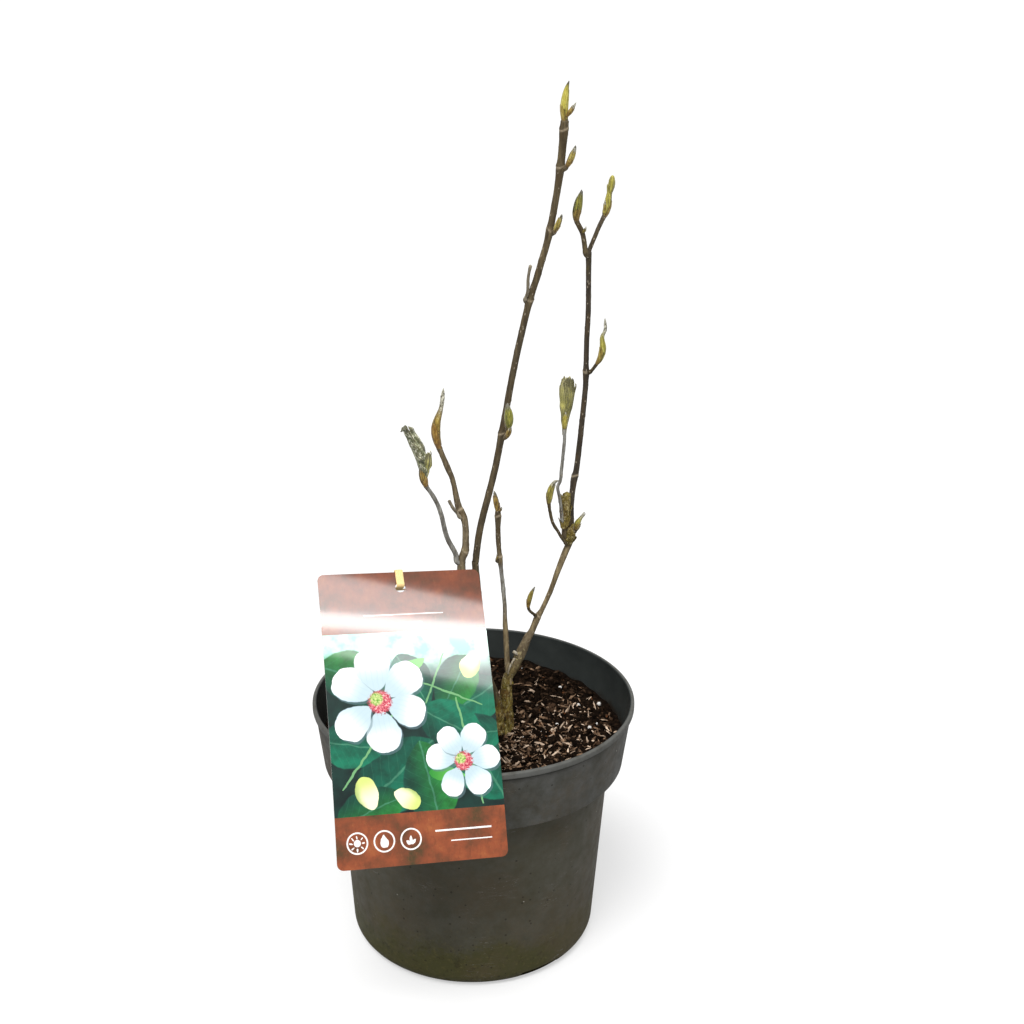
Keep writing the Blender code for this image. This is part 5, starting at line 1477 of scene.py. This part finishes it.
def printLeaf(colour, where, row, number, shading):
    # lit on one side, with a pale rib, slanted veins and a lighter border
    leaf = printShape(where, row, 0.85, 0.75)
    along, side = leaf["Along"], leaf["Side"]
    lit = band(sums("MULTIPLY_ADD", side, 0.5 if number % 2 else -0.5, 0.5), 0.0, 1.0)
    green = mix(lit, (0.001, 0.055, 0.036), (0.003, 0.18, 0.095) if number % 3 else (0.02, 0.23, 0.035))
    rib = band(unsigned(side), 0.05, 0.01)
    slant = plus(times(along, 9.0), times(unsigned(side), -2.4))
    vein = band(unsigned(minus(sums("FRACT", slant), 0.5)), 0.06, 0.0)
    green = paint(green, (0.08, 0.3, 0.18), larger(times(rib, 0.6), times(vein, 0.16)))
    green = paint(green, (0.01, 0.1, 0.065), band(unsigned(side), 0.75, 0.98), 0.35)
    return paint(colour, mix(0.75, green, shading, "MULTIPLY"), leaf["Mask"])


def printPetal(colour, where, row, number):
    # white over its own soft shadow, cool along one edge, with faint stripes from its foot
    shadow = printShape(where, (row[0] + 0.9, row[1] + 1.3, *row[2:]), 1.5, 0.5)
    colour = paint(colour, (0.1, 0.17, 0.19), shadow["Mask"], 0.55)
    petal = printShape(where, row, 1.5, 0.5)
    pale = mix(band(petal["Along"], 0.25, 0.85), (0.5, 0.63, 0.68), (0.94, 0.97, 0.98))
    cool = band(times(petal["Side"], 1.0 if number % 2 else -1.0), 0.35, 1.0)
    pale = paint(pale, (0.5, 0.68, 0.78), cool, 0.6)
    stripe = sums("FRACT", times(petal["Side"], 3.5))
    line = band(unsigned(minus(stripe, 0.5)), 0.16, 0.0)
    pale = paint(pale, (0.42, 0.56, 0.62), times(line, band(petal["Along"], 0.95, 0.3)), 0.3)
    return paint(colour, pale, petal["Mask"])


def printBud(colour, where, row):
    bud = printShape(where, row, 0.8, 0.62)
    creamy = mix(band(bud["Along"], 0.1, 0.7), (0.62, 0.72, 0.2), (0.93, 0.92, 0.62))
    creamy = paint(creamy, (0.4, 0.52, 0.16), band(bud["Side"], 0.2, 1.0))
    return paint(colour, creamy, bud["Mask"])


def printCentre(colour, flat, x, y, radius):
    # ragged pink stamens round a green heart
    bits = noise(flat, 1.1, 4, 0.8)
    rough = plus(sums("DIVIDE", distance(flat, x, y), radius), times(minus(bits, 0.5), 1.1))
    stamens = ramp(bits, [(0.38, (0.25, 0.02, 0.035)), (0.5, (0.62, 0.07, 0.12)), (0.62, (0.9, 0.55, 0.5))])
    colour = paint(colour, stamens, band(rough, 0.85, 0.68))
    off = distance(flat, x - 0.22 * radius, y - 0.2 * radius)
    heart = band(plus(sums("DIVIDE", off, radius), times(minus(bits, 0.5), 0.6)), 0.5, 0.34)
    return paint(colour, ramp(bits, [(0.4, (0.1, 0.32, 0.02)), (0.6, (0.7, 0.75, 0.3))]), heart)


def printBands(colour, flat, v):
    # rust-coloured bands: broad patches of brown, red and olive with fine upright brushing and orange flecks
    brushed = add("Mapping", {"Vector": flat, "Scale": (1.0, 0.35, 1.0)}).outputs[0]
    rust = ramp(noise(flat, 18, 6, 0.62),
                [(0.3, (0.065, 0.042, 0.014)), (0.42, (0.16, 0.047, 0.018)), (0.56, (0.265, 0.063, 0.022)),
                 (0.7, (0.35, 0.1, 0.03))])
    rust = paint(rust, (0.45, 0.2, 0.06), band(noise(brushed, 1.5, 5, 0.75), 0.56, 0.72), 0.24)
    rust = paint(rust, (0.06, 0.022, 0.01), band(noise(brushed, 2.4, 5, 0.7), 0.47, 0.36), 0.24)
    upper = sums("LESS_THAN", v, label["topBand"])
    rust = paint(rust, (0.05, 0.02, 0.012), upper, 0.32)
    return paint(colour, rust, larger(upper, sums("GREATER_THAN", v, label["bottomBand"])))


def printSigns(colour, where, flat, u, v):
    # rings round a sun, a drop and a sprig of three leaves, and a few plain lines, all near white
    marks = 0.0
    for x, y, radius in signs["rings"]:
        marks = larger(marks, band(unsigned(minus(distance(flat, x, y), radius)), 0.5, 0.3))
    sun, drop, sprig = signs["rings"]
    marks = larger(marks, band(distance(flat, *sun[:2]), 1.9, 1.7))
    rows = []
    for turn in np.arange(signs["rays"]) * math.tau / signs["rays"]:
        x, y = sun[0] + 2.4 * math.cos(turn), sun[1] + 2.4 * math.sin(turn)
        rows.append(((x, y, math.degrees(turn), 1.7, 0.7), 1.0, 0.3))
    rows.append(((drop[0], drop[1] - 3.7, 90, 7.0, 4.6), 2.0, 0.55))
    rows += [((sprig[0], sprig[1] + 2.4, angle, length, 1.7), 1.0, 0.7) for angle, length in signs["sprig"]]
    for row, skew, power in rows:
        marks = larger(marks, printShape(where, row, skew, power)["Mask"])
    for x, y, length, tall in signs["lines"]:
        wide = sums("LESS_THAN", unsigned(minus(u, x)), length / 2)
        thin = sums("LESS_THAN", unsigned(minus(v, y)), tall / 2)
        marks = larger(marks, times(wide, thin))
    return paint(colour, (0.9, 0.87, 0.84), marks)


def printFinish():
    finish, shader = newFinish("printed card", 0.42, Coat_Weight=1.0, Coat_Roughness=0.07,
                               Specular_IOR_Level=0.12)
    u, v = mark("across"), mark("down")
    flat = add("CombineXYZ", {"X": u, "Y": v}).outputs[0]
    # the picture's outlines wander a little, as painted ones do
    wander = add("TexNoise", {"Vector": flat, "Scale": 1 / 7.0, "Detail": 3.0}).outputs["Color"]
    moved = add("VectorMath", {0: wander, 1: (0.5, 0.5, 0.5)}, operation="SUBTRACT").outputs[0]
    painted = add("VectorMath", {0: moved, 1: (2.2, 2.2, 0.0), 2: flat}, operation="MULTIPLY_ADD").outputs[0]
    colour = ramp(noise(flat, 15, 3), [(0.35, (0.001, 0.01, 0.009)), (0.6, (0.004, 0.032, 0.024))])
    sky = ramp(noise(flat, 12, 3), [(0.4, (0.22, 0.56, 0.42)), (0.6, (0.62, 0.88, 0.76))])
    colour = paint(colour, sky, band(v, 64, 44))
    shading = ramp(noise(flat, 6, 5, 0.6), [(0.3, (0.4, 0.4, 0.4)), (0.6, (1.0, 1.0, 1.0))])
    for number, row in enumerate(picture["leaves"]):
        colour = printLeaf(colour, painted, row, number, shading)
    for row in picture["stalks"]:
        colour = paint(colour, (0.16, 0.38, 0.16), printShape(painted, row, 1.0, 0.12)["Mask"])
    for row in picture["lime"]:
        leaf = printShape(painted, row, 0.8, 0.8)
        colour = paint(colour, mix(leaf["Along"], (0.02, 0.24, 0.03), (0.16, 0.55, 0.09)), leaf["Mask"])
    for number, row in enumerate(picture["petals"]):
        colour = printPetal(colour, painted, row, number)
    for row in picture["buds"]:
        colour = printBud(colour, painted, row)
    for x, y, radius in picture["centres"]:
        colour = printCentre(colour, flat, x, y, radius)
    colour = printBands(colour, flat, v)
    colour = printSigns(colour, painted, flat, u, v)
    connect(colour, shader.inputs["Base Color"])
    # slight scuffs and dust dull the gloss in places
    scuff = placeGroup(grime, {"Vector": flat, "Size": 18.0, "Weight": 0.4})
    connect(sums("MULTIPLY_ADD", scuff["Mask"], 0.2, 0.4), shader.inputs["Roughness"])
    bump(shader, noise(flat, 22, 2), 0.25, 0.5)
    return finish


def cardFinish():
    finish, shader = newFinish("card edge and back", 0.55, Coat_Weight=0.3, Coat_Roughness=0.2)
    where = place()
    connect(ramp(noise(where, 3, 5), [(0.35, (0.62, 0.6, 0.54)), (0.65, (0.78, 0.77, 0.72))]),
            shader.inputs["Base Color"])
    return finish


def addLabel():
    q = label
    arcTurn = np.radians(np.linspace(0, 90, 9))
    drop, side = q["corner"] * (1 - np.cos(arcTurn)), q["corner"] * (1 - np.sin(arcTurn))
    middle = np.linspace(q["corner"], q["height"] - q["corner"], 72)[1:-1]
    drops = np.concatenate([drop, middle, q["height"] - drop[::-1]])
    sides = np.concatenate([side, 0 * middle, side[::-1]])
    across = (q["width"] / 2 - sides)[:, None] * np.linspace(1, -1, 49)[None]
    down = drops[:, None] + 0 * across
    surface = slab(labelPoint(across, q["aboveRim"] - down), q["thickness"], {"across": across, "down": down})
    card = makePiece("printedLabel", surface, printFinish(), ["label"])
    card.data.materials.append(cardFinish())
    fronts = (len(drops) - 1) * 48
    index = np.ones(len(card.data.polygons), np.int32)
    index[:fronts] = 0
    card.data.polygons.foreach_set("material_index", index)
    hole = q["aboveRim"] - q["holeBelowTop"]
    carve(card, rod(labelPoint(0, hole, -3), labelPoint(0, hole, 3), q["holeRadius"]))
    card.data.set_sharp_from_angle(angle=math.radians(50))


addLabel()
print("label")


# Elastic: a flat ribbed loop through the label's hole, over its top edge and round the left stem

elastic = {
    "width": 4.4, "thickness": 0.7, "height": 231.5, "loopRadius": 3.7,
    "loopBearings": (115, 75, 35, -5, -45, -85, -120),
    # from the hole over the card's top edge: up from the hole, and out of the card's face
    "overCard": ((0.2, 0), (0.3, -1.1), (1.2, -1.9), (2.8, -1.6), (5, -1.2), (7.6, -1.15), (9.3, -1.1),
                 (10.2, -0.5), (10.4, 0.4), (9.8, 1.6)),
    "perSpan": 14, "around": 48, "rib": 0.05, "ribs": 9,
}


def closedRoute(points, perSpan):
    # Catmull-Rom round a closed loop of points
    knots = np.array(points, float)
    before, a, b, after = (np.roll(knots, -ahead, axis=0)[:, None] for ahead in (-1, 0, 1, 2))
    t = np.linspace(0, 1, perSpan, endpoint=False)[None, :, None]
    return catmullRom(before, a, b, after, t).reshape(-1, 3)


def addElastic():
    e = elastic
    hole = label["aboveRim"] - label["holeBelowTop"]
    across = labelPoint(1, hole) - labelPoint(0, hole)
    path = limbs["leftStem"][0]
    stem = np.array([np.interp(e["height"], path[:, 2], path[:, axis]) for axis in range(3)])
    upright = directions(path)[int(np.argmax(path[:, 2] > e["height"]))]
    places = [labelPoint(0, hole + up, depth) for up, depth in e["overCard"]]
    widths = [across] * len(places)
    start = labelPoint(1.5, hole + 7, 5)
    turn = np.radians(e["loopBearings"])
    loop = stem + np.stack([np.cos(turn), np.sin(turn), 0 * turn], 1) * e["loopRadius"]
    for share in (0, 0.4, 0.75):
        places.append(start + (loop[0] - start) * share)
        widths.append(across + (upright - across) * (0.35 + 0.65 * share))
    places += list(loop)
    widths += [upright] * len(loop)
    end = labelPoint(0.5, hole + 0.4, 4)
    for share in (0.3, 0.65, 1):
        places.append(places[-1] + (end - places[-1]) * (0.3 if share < 1 else 1))
        widths.append(upright + (across - upright) * share)
    route, wide = closedRoute(places, e["perSpan"]), closedRoute(widths, e["perSpan"])
    along = unit(np.roll(route, -1, axis=0) - np.roll(route, 1, axis=0))
    side = unit(wide - along * (wide * along).sum(1, keepdims=True))
    face = np.cross(along, side)
    # section(a): a flat rounded bar |x|^4 + |y|^2.5 = 1 with small ribs on its faces
    a = fullTurn(e["around"])
    x = np.sign(np.cos(a)) * np.abs(np.cos(a)) ** 0.5 * e["width"] / 2
    y = np.sign(np.sin(a)) * np.abs(np.sin(a)) ** 0.8 * e["thickness"] / 2
    y = y + np.sign(y) * e["rib"] * np.cos(x / e["width"] * 2 * np.pi * e["ribs"]) * (np.abs(np.sin(a)) > 0.3)
    points = route[:, None] + side[:, None] * x[None, :, None] + face[:, None] * y[None, :, None]
    count, sides = len(route), e["around"]
    quads = gridQuads(count + 1, sides, True) % (count * sides)
    run = arcLength(route)
    marks = {"across": np.tile(x, count), "along": np.repeat(run, sides)}
    finish, shader = newFinish("elastic", 0.6, Sheen_Weight=0.25)
    knit = add("CombineXYZ", {"X": times(mark("across"), 3.2), "Y": mark("along")}).outputs[0]
    stitch = sums("SINE", times(mark("along"), 9.0))
    cells = noise(knit, 1.2, 4, 0.7)
    tone = ramp(cells, [(0.3, (0.72, 0.46, 0.15)), (0.5, (0.88, 0.62, 0.26)), (0.7, (0.96, 0.76, 0.42))])
    connect(tone, shader.inputs["Base Color"])
    bump(shader, plus(times(stitch, 0.4), cells), 0.12, 0.5)
    surface = {"points": points.reshape(-1, 3), "quads": quads, "tris": noTris(), "marks": marks}
    makePiece("labelElastic", surface, finish, ["label_tie"])
    print("elastic", round(float(run[-1]), 1), "mm round")


addElastic()


# Floor and light

stage = {
    "floor": 60000.0, "shade": 0.45, "glow": 0.5, "world": 0.42, "backdrop": 1.1,
    "sun": {"from": (-0.2, -0.42, 0.88), "power": 3.0, "softness": 30.0},
    # soft boxes whose reflections lie across the label: place, target, width direction, size and power
    "boxes": {
        "broadBox": {"place": (523, -737, 1669), "target": (-37, -60, 212), "across": (0.876, -0.293, -0.42),
                     "size": (660, 330), "power": 6.4},
        "stripBox": {"place": (505, -720, 1683), "target": (-37, -60, 212), "across": (0.93, 0.02, -0.36),
                     "size": (560, 74), "power": 2.0},
    },
}


def addLamp(name, kind, power, stand, away, across):
    # a lamp shines along its own -Z: the third axis points away from what it lights, the first lies across
    lamp = bpy.data.lights.new(name, kind)
    lamp.energy = power
    holder = bpy.data.objects.new(name, lamp)
    z = Vector(away).normalized()
    x = (Vector(across) - z * z.dot(Vector(across))).normalized()
    turn = Matrix((x, z.cross(x), z)).transposed().to_4x4()
    holder.matrix_world = Matrix.Translation(Vector(stand) * mm) @ turn
    scene.collection.objects.link(holder)
    return lamp


def addStage():
    size = stage["floor"]
    corner = np.array([(-size, -size, 0), (size, -size, 0), (size, size, 0), (-size, size, 0)], float)
    mesh = bpy.data.meshes.new("floor")
    mesh.from_pydata((corner * mm).tolist(), [], [(0, 1, 2, 3)])
    floor = bpy.data.objects.new("floor", mesh)
    scene.collection.objects.link(floor)
    # the floor and the surroundings look white, and light the plant less than a white room would
    finish, shader = newFinish("floor", 0.9, Emission_Color=(1, 1, 1, 1))
    shader.inputs["Base Color"].default_value = (stage["shade"],) * 3 + (1,)
    seen = add("LightPath").outputs["Is Camera Ray"]
    connect(times(seen, stage["glow"]), shader.inputs["Emission Strength"])
    mesh.materials.append(finish)
    world = bpy.data.worlds.new("studio")
    world.use_nodes = True
    work["tree"] = world.node_tree
    seen = add("LightPath").outputs["Is Camera Ray"]
    background = world.node_tree.nodes["Background"]
    background.inputs["Color"].default_value = (1, 1, 1, 1)
    brightness = sums("MULTIPLY_ADD", seen, stage["backdrop"] - stage["world"], stage["world"])
    connect(brightness, background.inputs["Strength"])
    scene.world = world
    sun = stage["sun"]
    lamp = addLamp("sun", "SUN", sun["power"], (0, 0, 2000), sun["from"], (1, 0, 0))
    lamp.angle = math.radians(sun["softness"])
    for name, box in stage["boxes"].items():
        away = Vector(box["place"]) - Vector(box["target"])
        lamp = addLamp(name, "AREA", box["power"], box["place"], away, box["across"])
        lamp.shape, lamp.size, lamp.size_y = "RECTANGLE", box["size"][0] * mm, box["size"][1] * mm
    scene.view_settings.view_transform = "Standard"


addStage()
